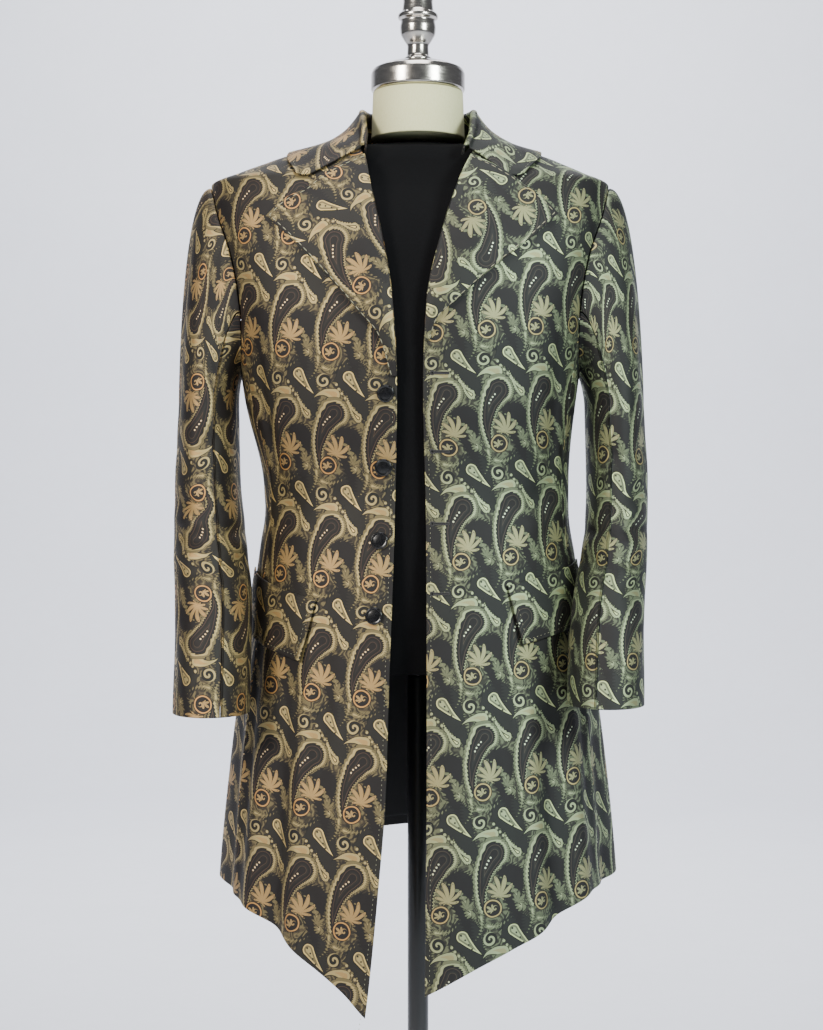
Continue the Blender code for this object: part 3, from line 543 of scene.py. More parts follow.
EDGES = (
    (0.44, -0.065, 0.006), (0.509, -0.056, 0.007), (0.62, -0.045, 0.008), (0.72, -0.037, 0.009),
    (0.86, -0.0325, 0.009), (1.02, -0.027, 0.0085), (1.19, -0.024, 0.005), (1.285, -0.029, 0.009),
    (1.355, -0.04, 0.024), (1.42, -0.055, 0.044), (1.452, -0.062, 0.058), (1.465, -0.067, 0.065),
    (1.478, -0.076, 0.076), (1.485, -0.085, 0.085),
)
ROLL_HEIGHTS = ((0.0, UNDERARM), (0.35, 1.36), (0.6, 1.425), (0.8, 1.463), (1.0, NECK_HEIGHT))


def edge_across(side: Side, height: Array) -> Array:
    """Place across of a front's edge, or of its roll line above the break."""
    return smooth(EDGES, 1 if side is Side.RIGHT else 2, height)


def armhole(turn: Array, gap: float = 0.0) -> tuple[Array, Array]:
    """Angle and height at a turn round the armhole, 0 at the shoulder tip.

    Args:
        turn: Turns in degrees.
        gap: How far to stay inside the armhole.

    Returns:
        Angles in degrees, and heights.
    """
    shrink = gap / ARM_RISE
    angle = 90.0 - ARM_ANGLE * (1.0 - 1.6 * shrink) * np.sin(np.radians(turn))
    return angle, ARM_HEIGHT + ARM_RISE * (1.0 - shrink) * np.cos(np.radians(turn))


def coons(low: tuple, high: tuple, first: tuple, last: tuple, across: Array, up: Array) -> list[Array]:
    """Fill in a patch from its four edges, each edge a pair of angle and height.

    Args:
        low: The lower edge.
        high: The upper edge.
        first: The edge where the shares across start.
        last: The edge where they end.
        across: Shares across.
        up: Shares up.

    Returns:
        The patch's angle and height.
    """
    filled = []
    for lower, upper, start, end in zip(low, high, first, last):
        corners = (
            (1.0 - across) * (1.0 - up) * lower[0, 0]
            + across * (1.0 - up) * lower[0, -1]
            + (1.0 - across) * up * upper[0, 0]
            + across * up * upper[0, -1]
        )
        filled.append((1.0 - up) * lower + up * upper + (1.0 - across) * start + across * end - corners)
    return filled


@dataclass(frozen=True)
class Panel:
    """A panel of the coat's body on one side: its grid of angles and heights, and its cloth.

    Its flat cloth is measured around from the datum, an angle where the grain hangs straight.
    """

    side: Side
    cut: Cut
    lay: Lay = Lay()
    skirt_rows: int = 84
    chest_rows: int = 40
    columns: int = 50
    datum: float = 0.0

    def rows(self) -> Array:
        """Shares up the panel: 0 to 1 from the hem to the underarm, 1 to 2 from there to the shoulder."""
        skirt = np.linspace(0.0, 1.0, self.skirt_rows)[:-1]
        return np.concatenate(((0.0, 0.002), skirt[1:], np.linspace(1.0, 2.0, self.chest_rows)[:-1], (1.995, 2.0)))

    def shell(
        self, name: str, angle: Array, height: Array, replaces: str, materials: Sequence, inner: Array | int
    ) -> None:
        """Build the panel's wall on the dressed body.

        Args:
            name: The piece's name.
            angle: Angles without a sign, in degrees.
            height: Heights.
            replaces: The CAD node it replaces.
            materials: Its cloth and its lining.
            inner: Material number of each quad behind.
        """
        angle = self.side.value * angle
        outer = BODY.point(angle, height)
        flat = BODY.flat(angle, height)
        flat[..., 0] -= BODY.flat(np.full_like(angle, self.side.value * self.datum), height)[..., 0]
        item = Shell().build(name, outer, BODY.normal(angle, height), self.lay.place(flat), materials, inner)
        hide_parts(replaces)
        self.cut.declare(item, "hung", ("form_torso",))


class FrontPanel(Panel):
    """A long front, from its edge and roll line to the side seam and the armhole."""

    FACING = 17.0
    EDGE_ROUNDS = 6

    def net(self) -> tuple[Array, Array]:
        """Angles and heights: level shares below the underarm, and a filled patch above it.

        Returns:
            Both, as grids.
        """
        up, across = net(self.rows(), spread(self.columns, 0.006))
        hem, seam = HEMS[self.side], FRONT_SEAM - SEAM_ANGLE
        level = np.minimum(up, 1.0)
        edge_height = np.full_like(level, UNDERARM)
        for _ in range(self.EDGE_ROUNDS):
            edge = BODY.angle_at(edge_across(self.side, edge_height), edge_height, self.side)
            base = smooth(hem, 1, edge)
            edge_height = base + level * (UNDERARM - base)
        angle = edge + across * (seam - edge)
        base = smooth(hem, 1, angle)
        height = base + level * (UNDERARM - base)
        top = np.clip(up - 1.0, 0.0, 1.0)
        roll_height = smooth(ROLL_HEIGHTS, 1, top)
        roll = BODY.angle_at(edge_across(self.side, roll_height), roll_height, self.side)
        roll = np.minimum(roll, 90.0 - SEAM_ANGLE)
        arm, arm_height = armhole(UNDERARM_TURN * (1.0 - top))
        arm = np.where(top == 0.0, seam, np.minimum(arm, 90.0 - SEAM_ANGLE))
        start = float(BODY.angle_at(edge_across(self.side, UNDERARM), UNDERARM, self.side))
        low = (start + across * (seam - start), np.full_like(across, UNDERARM))
        high = (np.full_like(across, 90.0 - SEAM_ANGLE), NECK_HEIGHT + across * (TIP_HEIGHT - NECK_HEIGHT))
        upper_angle, upper_height = coons(low, high, (roll, roll_height), (arm, arm_height), across, top)
        return np.where(up > 1.0, upper_angle, angle), np.where(up > 1.0, upper_height, height)

    def build(self, cloth: Material, lining: Material) -> None:
        """Build the front, faced with its own cloth beside the edge and lined behind.

        Args:
            cloth: The brocade.
            lining: The lining satin.
        """
        angle, height = self.net()
        middle = 0.5 * (angle[:-1, :-1] + angle[1:, 1:])
        edge = 0.5 * (angle[:-1, :1] + angle[1:, :1])
        inner = (middle - edge > self.FACING).astype(np.int32).ravel()
        name = f"cloth_front_{self.side.word}"
        self.shell(name, angle, height, f"front_{self.side.word}", (cloth, lining), inner)


class SidePanel(Panel):
    """The panel under an arm, with the bottom of the armhole as its top edge."""

    def build(self, cloth: Material, lining: Material) -> None:
        """Build the panel between the two side seams.

        Args:
            cloth: The brocade.
            lining: The lining satin.
        """
        up, across = net(spread(self.skirt_rows + 10, 0.002), spread(self.columns, 0.01))
        first = FRONT_SEAM + SEAM_ANGLE
        angle = first + across * (BACK_SEAM - SEAM_ANGLE - first)
        base = smooth(HEMS[self.side], 1, angle)
        reach = np.clip((angle - 90.0) / ARM_ANGLE, -1.0, 1.0)
        height = base + up * (ARM_HEIGHT - ARM_RISE * np.sqrt(1.0 - reach**2) - base)
        name = f"cloth_side_body_{self.side.word}"
        self.shell(name, angle, height, f"side_body_{self.side.word}", (cloth, lining), 1)


class BackPanel(Panel):
    """A back, with the centre seam, half of the open vent, and the shoulder and neck on top."""

    VENT_TOP = 0.87
    VENT_LENGTH = 0.2
    VENT_ANGLE = 1.1
    SHOULDER_SHARE = 0.6

    def net(self, rows: Array) -> tuple[Array, Array]:
        """Angles and heights of the back over rows of shares.

        Args:
            rows: Shares up the back.

        Returns:
            Both, as grids.
        """
        up, across = net(rows, spread(self.columns, 0.006))
        seam, centre = BACK_SEAM + SEAM_ANGLE, 180.0 - SEAM_ANGLE
        level = np.minimum(up, 1.0)
        base = smooth(HEMS[self.side], 1, 180.0)
        centre_height = base + level * (UNDERARM - base)
        opening = self.VENT_ANGLE * ease((self.VENT_TOP - centre_height) / self.VENT_LENGTH)
        angle = seam + across * (centre - opening - seam)
        base = smooth(HEMS[self.side], 1, angle)
        height = base + level * (UNDERARM - base)
        top = np.clip(up - 1.0, 0.0, 1.0)
        arm, arm_height = armhole(UNDERARM_TURN * (1.0 - top))
        arm = np.where(top == 0.0, seam, np.maximum(180.0 - arm, 90.0 + SEAM_ANGLE))
        middle = (np.full_like(top, centre), UNDERARM + top * (NECK_HEIGHT - UNDERARM))
        low = (seam + across * (centre - seam), np.full_like(across, UNDERARM))
        shoulder = np.clip(across / self.SHOULDER_SHARE, 0.0, 1.0)
        neck = np.clip((across - self.SHOULDER_SHARE) / (1.0 - self.SHOULDER_SHARE), 0.0, 1.0)
        first = 90.0 + SEAM_ANGLE
        high = (first + neck * (centre - first), TIP_HEIGHT + shoulder * (NECK_HEIGHT - TIP_HEIGHT))
        upper_angle, upper_height = coons(low, high, (arm, arm_height), middle, across, top)
        return np.where(up > 1.0, upper_angle, angle), np.where(up > 1.0, upper_height, height)

    def build(self, cloth: Material, lining: Material) -> None:
        """Build the back's cloth.

        Args:
            cloth: The brocade.
            lining: The lining satin.
        """
        angle, height = self.net(self.rows())
        name = f"cloth_back_{self.side.word}"
        self.shell(name, angle, height, f"back_{self.side.word}", (cloth, lining), 1)

    def build_lining(self, lining: Material, cut: Cut) -> None:
        """Build the lining half a millimetre inside the back, from just above the hem to the underarm.

        Args:
            lining: The lining satin.
            cut: The lining's flat cut.
        """
        rows = np.maximum(spread(self.skirt_rows, 0.002), 0.02)
        rows = np.unique(rows)
        angle, height = self.net(rows)
        angle = self.side.value * angle
        outer = BODY.point(angle, height, -(WALL + LINING_GAP))
        name = f"cloth_back_lining_{self.side.word}"
        normal = BODY.normal(angle, height)
        item = Shell(0.001, 0.0004).build(name, outer, normal, BODY.flat(angle, height), (lining,))
        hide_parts(f"back_lining_{self.side.word}")
        cut.declare(item, "hung", (f"cloth_back_{self.side.word}",))


# Each sleeve's level rings: height, outer and inner side, middle along the depth, and half depth.
SLEEVES = {
    Side.RIGHT: (
        (0.815, 0.28, 0.1925, -0.112, 0.066), (0.89, 0.2815, 0.1927, -0.088, 0.067),
        (0.947, 0.2835, 0.1942, -0.063, 0.068), (0.988, 0.287, 0.2, -0.042, 0.07),
        (1.03, 0.289, 0.206, -0.021, 0.072), (1.08, 0.29, 0.2125, -0.005, 0.074),
        (1.17, 0.286, 0.215, 0.0, 0.077),
    ),
    Side.LEFT: (
        (0.826, 0.255, 0.168, -0.132, 0.064), (0.89, 0.259, 0.172, -0.108, 0.065),
        (0.947, 0.2625, 0.18, -0.08, 0.066), (0.988, 0.2675, 0.19, -0.054, 0.069),
        (1.03, 0.271, 0.198, -0.028, 0.072), (1.08, 0.274, 0.2014, -0.007, 0.074),
        (1.17, 0.27, 0.2, 0.0, 0.077),
    ),
}
# Soft creases of a sleeve, by turn in degrees and share down, 1 at the head's end and 2 at the cuff.
SLEEVE_CREASES = {
    Side.RIGHT: (
        (70.0, 1.33, 34.0, 0.022, -0.0026, 500.0), (62.0, 1.385, 30.0, 0.02, 0.0018, 420.0),
        (78.0, 1.44, 34.0, 0.024, -0.003, -260.0), (60.0, 1.5, 30.0, 0.02, 0.0018, -420.0),
        (86.0, 1.545, 30.0, 0.022, -0.0024, -300.0), (74.0, 1.66, 24.0, 0.03, -0.0014, -380.0),
        (40.0, 1.18, 22.0, 0.05, -0.0016, 260.0), (96.0, 1.14, 22.0, 0.04, -0.002, -260.0),
        (30.0, 0.7, 12.0, 0.3, -0.0016, 10.0), (-50.0, 1.42, 26.0, 0.03, -0.002, 300.0),
        (-72.0, 1.34, 26.0, 0.026, 0.0012, 300.0), (-66.0, 1.62, 24.0, 0.04, -0.0014, 260.0),
        (-40.0, 0.8, 14.0, 0.26, -0.0015, -20.0), (150.0, 1.42, 30.0, 0.024, -0.0024, 100.0),
        (150.0, 1.52, 28.0, 0.022, -0.002, -100.0), (20.0, 1.82, 16.0, 0.11, -0.0012, 60.0),
    ),
    Side.LEFT: (
        (66.0, 1.3, 32.0, 0.024, -0.0024, 460.0), (74.0, 1.365, 30.0, 0.02, 0.0016, 420.0),
        (64.0, 1.42, 34.0, 0.022, -0.003, -240.0), (80.0, 1.475, 30.0, 0.022, 0.0016, -400.0),
        (70.0, 1.53, 32.0, 0.024, -0.0026, -320.0), (58.0, 1.62, 24.0, 0.034, -0.0015, -360.0),
        (46.0, 1.15, 22.0, 0.055, -0.0017, 240.0), (100.0, 1.18, 22.0, 0.04, -0.0018, -240.0),
        (26.0, 0.72, 13.0, 0.28, -0.0016, 14.0), (-46.0, 1.44, 26.0, 0.03, -0.0019, 280.0),
        (-70.0, 1.36, 26.0, 0.026, 0.0012, 280.0), (-60.0, 1.6, 24.0, 0.04, -0.0014, 240.0),
        (-38.0, 0.78, 14.0, 0.26, -0.0015, -20.0), (152.0, 1.43, 30.0, 0.024, -0.0023, 100.0),
        (146.0, 1.53, 28.0, 0.022, -0.0019, -100.0), (14.0, 1.8, 16.0, 0.12, -0.0012, 60.0),
    ),
}


@dataclass(frozen=True)
class Sleeve:
    """A two-piece sleeve on one side: the top sleeve outside and the under sleeve by the body."""

    side: Side
    lay: Lay
    top_cut: Cut
    under_cut: Cut
    rows: int = 116
    front_seam: float = 112.0
    back_seam: float = -104.0
    seam_gap: float = 0.0012
    clearance: float = 0.0065
    outward: float = 0.36
    roping: float = 0.05
    fall: float = 0.85
    seam_turn: float = 0.35
    head_fade: float = 0.25
    cuff_fade: float = 0.1

    def ring(self, turn: Array, height: Array) -> Array:
        """A point of a level ring: an ellipse, pushed clear of the body beside it.

        Args:
            turn: Turns round the sleeve, in degrees.
            height: Heights.

        Returns:
            Points.
        """
        outer, inner, middle, depth = (smooth(SLEEVES[self.side], column, height) for column in (1, 2, 3, 4))
        across = 0.5 * (outer + inner) + 0.5 * (outer - inner) * np.cos(np.radians(turn))
        along = middle - depth * np.sin(np.radians(turn))
        clear = BODY.reach(along, height) + self.clearance + self.side.value * smooth(RINGS, 5, height)
        across = np.maximum(across, clear)
        return np.stack(np.broadcast_arrays(self.side.value * across, along, height), axis=-1)

    def plain(self, turn: Array, down: Array) -> Array:
        """The CAD surface: a cubic from the armhole to the first ring, and level rings below it.

        Args:
            turn: Turns round the sleeve, in degrees.
            down: Shares down: 1 at the head's end and 2 at the cuff.

        Returns:
            Points.
        """
        top, low = SLEEVES[self.side][-1][0], SLEEVES[self.side][0][0]
        length = np.clip(down - 1.0, -0.01, 1.0)
        ring = self.ring(turn, top - length * (top - low))
        angle, height = armhole(turn, self.seam_gap)
        start = BODY.plain(self.side.value * angle, height)
        end = self.ring(turn, np.full_like(turn, top))
        reach = np.linalg.norm(end - start, axis=-1, keepdims=True)
        crown = np.clip(np.cos(np.radians(turn)), 0.0, 1.0)[..., None]
        outward = np.array((self.side.value * self.outward, 0.0, 0.0)) + np.array((0.0, 0.0, self.roping)) * crown
        fall = np.array((0.0, 0.0, -self.fall))
        t = np.clip(down, -0.01, 1.0)[..., None]
        head = (
            start * (2.0 * t**3 - 3.0 * t**2 + 1.0)
            + outward * reach * (t**3 - 2.0 * t**2 + t)
            + end * (3.0 * t**2 - 2.0 * t**3)
            + fall * reach * (t**3 - t**2)
        )
        return np.where(down[..., None] < 1.0, head, ring)

    def half(
        self, name: str, replaces: str, turns: Array, cut: Cut, cloth: Material, lining: Material
    ) -> None:
        """Build one of the sleeve's two panels over a row of turns round it.

        Args:
            name: The piece's name.
            replaces: The CAD node it replaces.
            turns: Turns in degrees.
            cut: Its flat cut.
            cloth: The brocade.
            lining: The lining satin.
        """
        head = np.linspace(0.0, 1.0, self.rows // 3)[:-1]
        shares = np.concatenate(((0.0, 0.012), head[1:], np.linspace(1.0, 2.0, self.rows - self.rows // 3), (1.997,)))
        down, turn = net(np.unique(shares), turns)
        points = self.plain(turn, down)
        normal = unit(np.cross(np.gradient(points, axis=1), np.gradient(points, axis=0)))
        centre = 0.5 * (points + self.plain(turn + 180.0, down))
        normal = normal * np.sign(np.sum((points - centre) * normal))
        fade = ease(down / self.head_fade) * ease((2.0 - down) / self.cuff_fade)
        from_seam = (turn - self.back_seam) % 360.0 + self.back_seam
        move = relief(SLEEVE_CREASES[self.side], from_seam, down) * fade
        points = points + normal * move[..., None]
        across = np.cumsum(np.linalg.norm(np.diff(points, axis=1), axis=-1), axis=1)
        across = np.concatenate((np.zeros((len(points), 1)), across), axis=1)
        across = across - across[:, across.shape[1] // 2][:, None]
        along = np.cumsum(np.linalg.norm(np.diff(points, axis=0), axis=-1), axis=0)
        along = np.concatenate((np.zeros((1, points.shape[1])), along))
        level = np.argmin(np.abs(down[:, 0] - 1.5))
        along = along - along[level]
        flat = np.stack((-self.side.value * across, -along), axis=-1)
        item = Shell().build(name, points, normal, self.lay.place(flat), (cloth, lining), 1)
        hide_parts(replaces)
        cut.declare(item, "hung", (f"cloth_front_{self.side.word}", f"cloth_back_{self.side.word}"))

    def build(self, cloth: Material, lining: Material) -> None:
        """Build both panels, each from one seam to the other.

        Args:
            cloth: The brocade.
            lining: The lining satin.
        """
        word = self.side.word
        start, end = self.back_seam + self.seam_turn, self.front_seam - self.seam_turn
        top = start + spread(62, 0.003) * (end - start)
        start, end = self.front_seam + self.seam_turn, 360.0 + self.back_seam - self.seam_turn
        under = start + spread(44, 0.004) * (end - start)
        self.half(f"cloth_top_sleeve_{word}", f"top_sleeve_{word}", top, self.top_cut, cloth, lining)
        self.half(f"cloth_under_sleeve_{word}", f"under_sleeve_{word}", under, self.under_cut, cloth, lining)


# Half the collar, from the centre back to its front end: share, stand, fold and edge.
COLLAR = (
    (0.0, 0.0, 0.0782, 1.4857, 0.0, 0.071, 1.53, 0.0, 0.095),
    (0.2, 0.044, 0.067, 1.4857, 0.037, 0.061, 1.53, 0.064, 0.088),
    (0.42, 0.0755, 0.0335, 1.4857, 0.062, 0.029, 1.529, 0.122, 0.048),
    (0.6, 0.0825, -0.002, 1.4857, 0.0665, -0.006, 1.525, 0.147, 0.0),
    (0.8, 0.0735, -0.05, 1.48, 0.065, -0.048, 1.506, 0.148, -0.055),
    (1.0, 0.0545, -0.079, 1.458, 0.06, -0.085, 1.469, 0.133, -0.0905),
)
# The heights between which the shoulders lie, and how often the range is halved.
YOKE_RANGE = (1.38, 1.5)
YOKE_HALVINGS = 24


@dataclass(frozen=True)
class Collar:
    """The collar: a stand round the neck, rolled over into a fall that lies on the shoulders."""

    cut: Cut
    lay: Lay
    roll: float = 0.0045
    lift: float = 0.004
    nose: float = 0.007
    nose_start: float = 0.8
    fold: float = 0.08
    step: float = 0.0005

    @staticmethod
    def yoke_height(across: Array, along: Array) -> Array:
        """Height of the shoulders above a place across and along, found by halving the range.

        Args:
            across: Places across.
            along: Places along the depth.

        Returns:
            Heights.
        """
        low, high = (np.full_like(across, end) for end in YOKE_RANGE)
        for _ in range(YOKE_HALVINGS):
            middle = 0.5 * (low + high)
            half_width, front, back, squareness, _ = BODY.ring(middle)
            depth = np.where(along < 0.0, front, back)
            size = (np.abs(across) / half_width) ** squareness + (np.abs(along) / depth) ** squareness
            low, high = np.where(size < 1.0, middle, low), np.where(size < 1.0, high, middle)
        return 0.5 * (low + high)

    def yoke(self, across: Array, along: Array) -> tuple[Array, Array, Array]:
        """A point held off the shoulders by the lift, square to them.

        Args:
            across: Places across.
            along: Places along the depth.

        Returns:
            Places across, along and up.
        """
        step, reach = self.step, self.yoke_height
        height = reach(across, along)
        slope_x = (reach(across + step, along) - reach(across - step, along)) / (2.0 * step)
        slope_y = (reach(across, along + step) - reach(across, along - step)) / (2.0 * step)
        length = np.sqrt(slope_x**2 + slope_y**2 + 1.0)
        return (
            across - self.lift * slope_x / length,
            along - self.lift * slope_y / length,
            height + self.lift / length,
        )

    def point(self, around: Array, down: Array) -> Array:
        """The outer face: the stand's foot at -1, over a round fold at 0, to the fall's edge at 1.

        Args:
            around: Shares round the neck, -1 to 1.
            down: Shares from the foot to the edge.

        Returns:
            Points.
        """
        share, side = np.abs(around), np.sign(around)
        stand = [smooth(COLLAR, column, share) for column in (1, 2, 3)]
        crest = [smooth(COLLAR, column, share) for column in (4, 5, 6)]
        edge = [smooth(COLLAR, column, share) for column in (7, 8)]
        span = np.hypot(edge[0] - crest[0], edge[1] - crest[1])
        out = ((edge[0] - crest[0]) / span, (edge[1] - crest[1]) / span)
        turn = np.clip(down / self.fold, -1.0, 1.0) * math.pi / 2.0
        shift = self.roll * np.sin(turn)
        x, y = crest[0] + shift * out[0], crest[1] + shift * out[1]
        z = crest[2] - self.roll * (1.0 - np.cos(turn))
        rise = np.clip((-down - self.fold) / (1.0 - self.fold), 0.0, 1.0)
        fall = np.clip((down - self.fold) / (1.0 - self.fold), 0.0, 1.0)
        risen = [place + rise * (foot - place) for place, foot in zip((x, y, z), stand)]
        nose = self.nose * ease((share - self.nose_start) / (1.0 - self.nose_start))
        fall_y = y + fall * (edge[1] - y) - nose * np.sin(math.pi * fall**2)
        laid = self.yoke(x + fall * (edge[0] - x), fall_y)
        hold = (1.0 - fall) ** 3
        fallen = [rest + (place - first) * hold for rest, place, first in zip(laid, (x, y, z), self.yoke(x, y))]
        put = [
            np.where(down < -self.fold, a, np.where(down > self.fold, b, c))
            for a, b, c in zip(risen, fallen, (x, y, z))
        ]
        return np.stack((side * put[0] + smooth(RINGS, 5, put[2]), put[1], put[2]), axis=-1)

    def build(self, cloth: Material) -> None:
        """Build the collar's shell, its pattern running along its length.

        Args:
            cloth: The brocade.
        """
        stand = np.linspace(-1.0, -self.fold, 12)[:-1]
        shares = np.concatenate((stand, np.linspace(-self.fold, self.fold, 9), np.linspace(self.fold, 1.0, 26)[1:]))
        shares = np.unique(np.concatenate((shares, (-0.985, 0.988))))
        around = np.unique(np.concatenate((np.linspace(-1.0, 1.0, 122), (-0.997, 0.997))))
        down, turn = net(shares, around)
        points = self.point(turn, down)
        normal = unit(np.cross(np.gradient(points, axis=1), np.gradient(points, axis=0)))
        upward = np.zeros_like(points)
        upward[down > 0.3] = (0.0, 0.0, 1.0)
        normal = normal * np.sign(np.sum(normal * upward))
        line = points[np.argmin(np.abs(shares - 0.5))]
        along = np.concatenate(((0.0,), np.cumsum(np.linalg.norm(np.diff(line, axis=0), axis=-1))))
        along = np.broadcast_to(along - along[len(along) // 2], down.shape)
        up = np.cumsum(np.linalg.norm(np.diff(points, axis=0), axis=-1), axis=0)
        up = np.concatenate((np.zeros((1, points.shape[1])), up))
        flat = np.stack((along, -up), axis=-1)
        item = Shell().build("cloth_collar", points, normal, self.lay.place(flat), (cloth,))
        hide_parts("collar")
        below = ("cloth_front_right", "cloth_front_left", "cloth_back_right", "cloth_back_left")
        self.cut.declare(item, "folded", below)


# A lapel's break, its roll line's top, and its outer and upper edges by share, across and height.
LAPEL_BREAK = {Side.RIGHT: 1.196, Side.LEFT: 1.236}
LAPEL_TOP = 1.456
LAPEL_OUTER = {
    Side.RIGHT: (
        (0.0, 0.03, 1.196), (0.2, 0.0456, 1.2436), (0.35, 0.067, 1.269), (0.6, 0.1042, 1.3118),
        (0.8, 0.14, 1.35), (1.0, 0.1731, 1.381),
    ),
    Side.LEFT: (
        (0.0, 0.012, 1.236), (0.15, 0.02, 1.26), (0.35, 0.0435, 1.2825), (0.6, 0.085, 1.32),
        (0.8, 0.124, 1.352), (1.0, 0.159, 1.3845),
    ),
}
LAPEL_UPPER = {
    Side.RIGHT: (
        (0.0, 0.0615, 1.456), (0.28, 0.09, 1.4405), (0.5, 0.1165, 1.4222), (0.6, 0.127, 1.4125),
        (0.8, 0.152, 1.4), (1.0, 0.1731, 1.381),
    ),
    Side.LEFT: (
        (0.0, 0.06, 1.456), (0.28, 0.085, 1.4415), (0.5, 0.1095, 1.4255), (0.6, 0.118, 1.4175),
        (0.8, 0.14, 1.403), (1.0, 0.159, 1.3845),
    ),
}


@dataclass(frozen=True)
class Lapel:
    """A wide peaked lapel, turned back over its front."""

    side: Side
    cut: Cut
    lay: Lay
    seat: float = 0.0009
    bloom: float = 0.0035
    rise: float = 0.0024
    edge_gap: float = 0.0006
    width: float = 0.1

    def net(self, up: Array, across: Array) -> tuple[Array, Array]:
        """Place across and height: from the roll line to the outer edge, the top rows drawn to the peak.

        Args:
            up: Shares up.
            across: Shares across.

        Returns:
            Both.
        """
        outer, upper = LAPEL_OUTER[self.side], LAPEL_UPPER[self.side]
        inner_height = LAPEL_BREAK[self.side] + up * (LAPEL_TOP - LAPEL_BREAK[self.side])
        inner_across = np.abs(edge_across(self.side, inner_height)) + self.edge_gap
        straight_across = inner_across + across * (smooth(outer, 1, up) - inner_across)
        straight_height = inner_height + across * (smooth(outer, 2, up) - inner_height)
        end = abs(float(edge_across(self.side, LAPEL_TOP))) + self.edge_gap
        end_across = end + across * (outer[-1][1] - end)
        end_height = LAPEL_TOP + across * (outer[-1][2] - LAPEL_TOP)
        pull = up**4
        return (
            straight_across + pull * (smooth(upper, 1, across) - end_across),
            straight_height + pull * (smooth(upper, 2, across) - end_height),
        )

    def point(self, up: Array, across: Array) -> tuple[Array, Array, Array]:
        """The outer face, the body's normal and the flat place, over shares up and across.

        Args:
            up: Shares up.
            across: Shares across.

        Returns:
            All three.
        """
        place, height = self.net(up, across)
        angle = self.side.value * BODY.angle_at(self.side.value * place, height, self.side)
        swell = self.bloom * np.sin(math.pi * across) + self.rise * across**3
        lift = self.seat + WALL + swell * ease(up * 3.0)
        return BODY.point(angle, height, lift), BODY.normal(angle, height), BODY.flat(angle, height)

    def build(self, cloth: Material) -> None:
        """Build the lapel's shell.

        Args:
            cloth: The brocade.
        """
        outer, normal, flat = self.point(*net(spread(64, 0.004), spread(44, 0.008)))
        name = f"cloth_lapel_{self.side.word}"
        item = Shell().build(name, outer, normal, self.lay.place(flat), (cloth,))
        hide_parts(f"lapel_{self.side.word}")
        self.cut.declare(item, "folded", (f"cloth_front_{self.side.word}",))

    def border(self, inset: float) -> tuple[Array, Array]:
        """A line just inside the outer and upper edges, from the break to the collar.

        Args:
            inset: How far inside the edge.

        Returns:
            Points, and the normal at each.
        """
        step = np.linspace(0.0, 1.0, 160)
        share = inset / self.width
        up = np.concatenate((step, np.ones(160))) * (1.0 - share * 0.5)
        across = np.concatenate((np.ones(160), step[::-1])) * (1.0 - share)
        point, normal, _ = self.point(up[:, None], across[:, None])
        return point[:, 0], normal[:, 0]


@dataclass(frozen=True)
class Flap:
    """A pocket flap: the heights of its corners, its front end and its outer end."""

    side: Side
    cut: Cut
    lay: Lay
    front_x: float
    front_top: float
    front_low: float
    outer_angle: float
    outer_top: float
    outer_low: float
    slant: float = 0.016
    seat: float = 0.0011
    stand: float = 0.0045
    depth: float = 0.07
    width: float = 0.13

    def point(self, down: Array, across: Array) -> tuple[Array, Array, Array]:
        """The outer face, normal and flat place; the front lower corner stands off by its square share.

        Args:
            down: Shares down.
            across: Shares across.

        Returns:
            All three.
        """
        top = self.front_top + across * (self.outer_top - self.front_top)
        low = self.front_low + across * (self.outer_low - self.front_low)
        height = low + (1.0 - down) * (top - low)
        front = BODY.angle_at(self.side.value * (self.front_x + self.slant * down), height, self.side)
        angle = self.side.value * (front + across * (self.outer_angle - front))
        lift = self.seat + WALL + self.stand * down * (1.0 - across) ** 2
        return BODY.point(angle, height, lift), BODY.normal(angle, height), BODY.flat(angle, height)

    def build(self, cloth: Material) -> None:
        """Build the flap's shell.

        Args:
            cloth: The brocade.
        """
        outer, normal, flat = self.point(*net(spread(26, 0.012), spread(56, 0.008)))
        name = f"cloth_pocket_flap_{self.side.word}"
        item = Shell().build(name, outer, normal, self.lay.place(flat), (cloth,))
        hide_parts(f"pocket_flap_{self.side.word}")
        self.cut.declare(item, "hung", (f"cloth_front_{self.side.word}", f"cloth_side_body_{self.side.word}"))

    def border(self, inset: float) -> tuple[Array, Array]:
        """A line just inside the front, lower and outer edges.

        Args:
            inset: How far inside the edge.

        Returns:
            Points, and the normal at each.
        """
        step = np.linspace(0.0, 1.0, 90)
        one = np.ones(90)
        down = np.concatenate((step, one, step[::-1]))
        across = np.concatenate((0.0 * one, step, one))
        down = down * (1.0 - inset / self.depth)
        across = inset / self.width + across * (1.0 - 2.0 * inset / self.width)
        point, normal, _ = self.point(down, across)
        return point, normal


def tube(path: Array, normal: Array, radius: float, sides: int = 8, closed: bool = False) -> tuple[Array, Array]:
    """A round thread along a path.

    The thread's ring at each step stands square to the path, half way between the normal and the side.

    Args:
        path: Points along the thread's middle.
        normal: The surface's normal at each of them.
        radius: The thread's radius.
        sides: Sides of the ring.
        closed: Whether the last point joins the first.

    Returns:
        The thread's points and quads.
    """
    if closed:
        ahead = np.roll(path, -1, axis=0) - np.roll(path, 1, axis=0)
    else:
        ahead = np.gradient(path, axis=0)
    ahead = unit(ahead)
    beside = unit(np.cross(ahead, normal))
    turn = np.linspace(0.0, 2.0 * math.pi, sides, endpoint=False)[None, :, None]
    rings = path[:, None] + radius * (np.cos(turn) * beside[:, None] + np.sin(turn) * np.cross(beside, ahead)[:, None])
    index = np.arange(len(path) * sides).reshape(len(path), sides)
    index = np.concatenate((index, index[:, :1]), axis=1)
    if closed:
        index = np.concatenate((index, index[:1]))
    return rings.reshape(-1, 3), grid_faces(index)


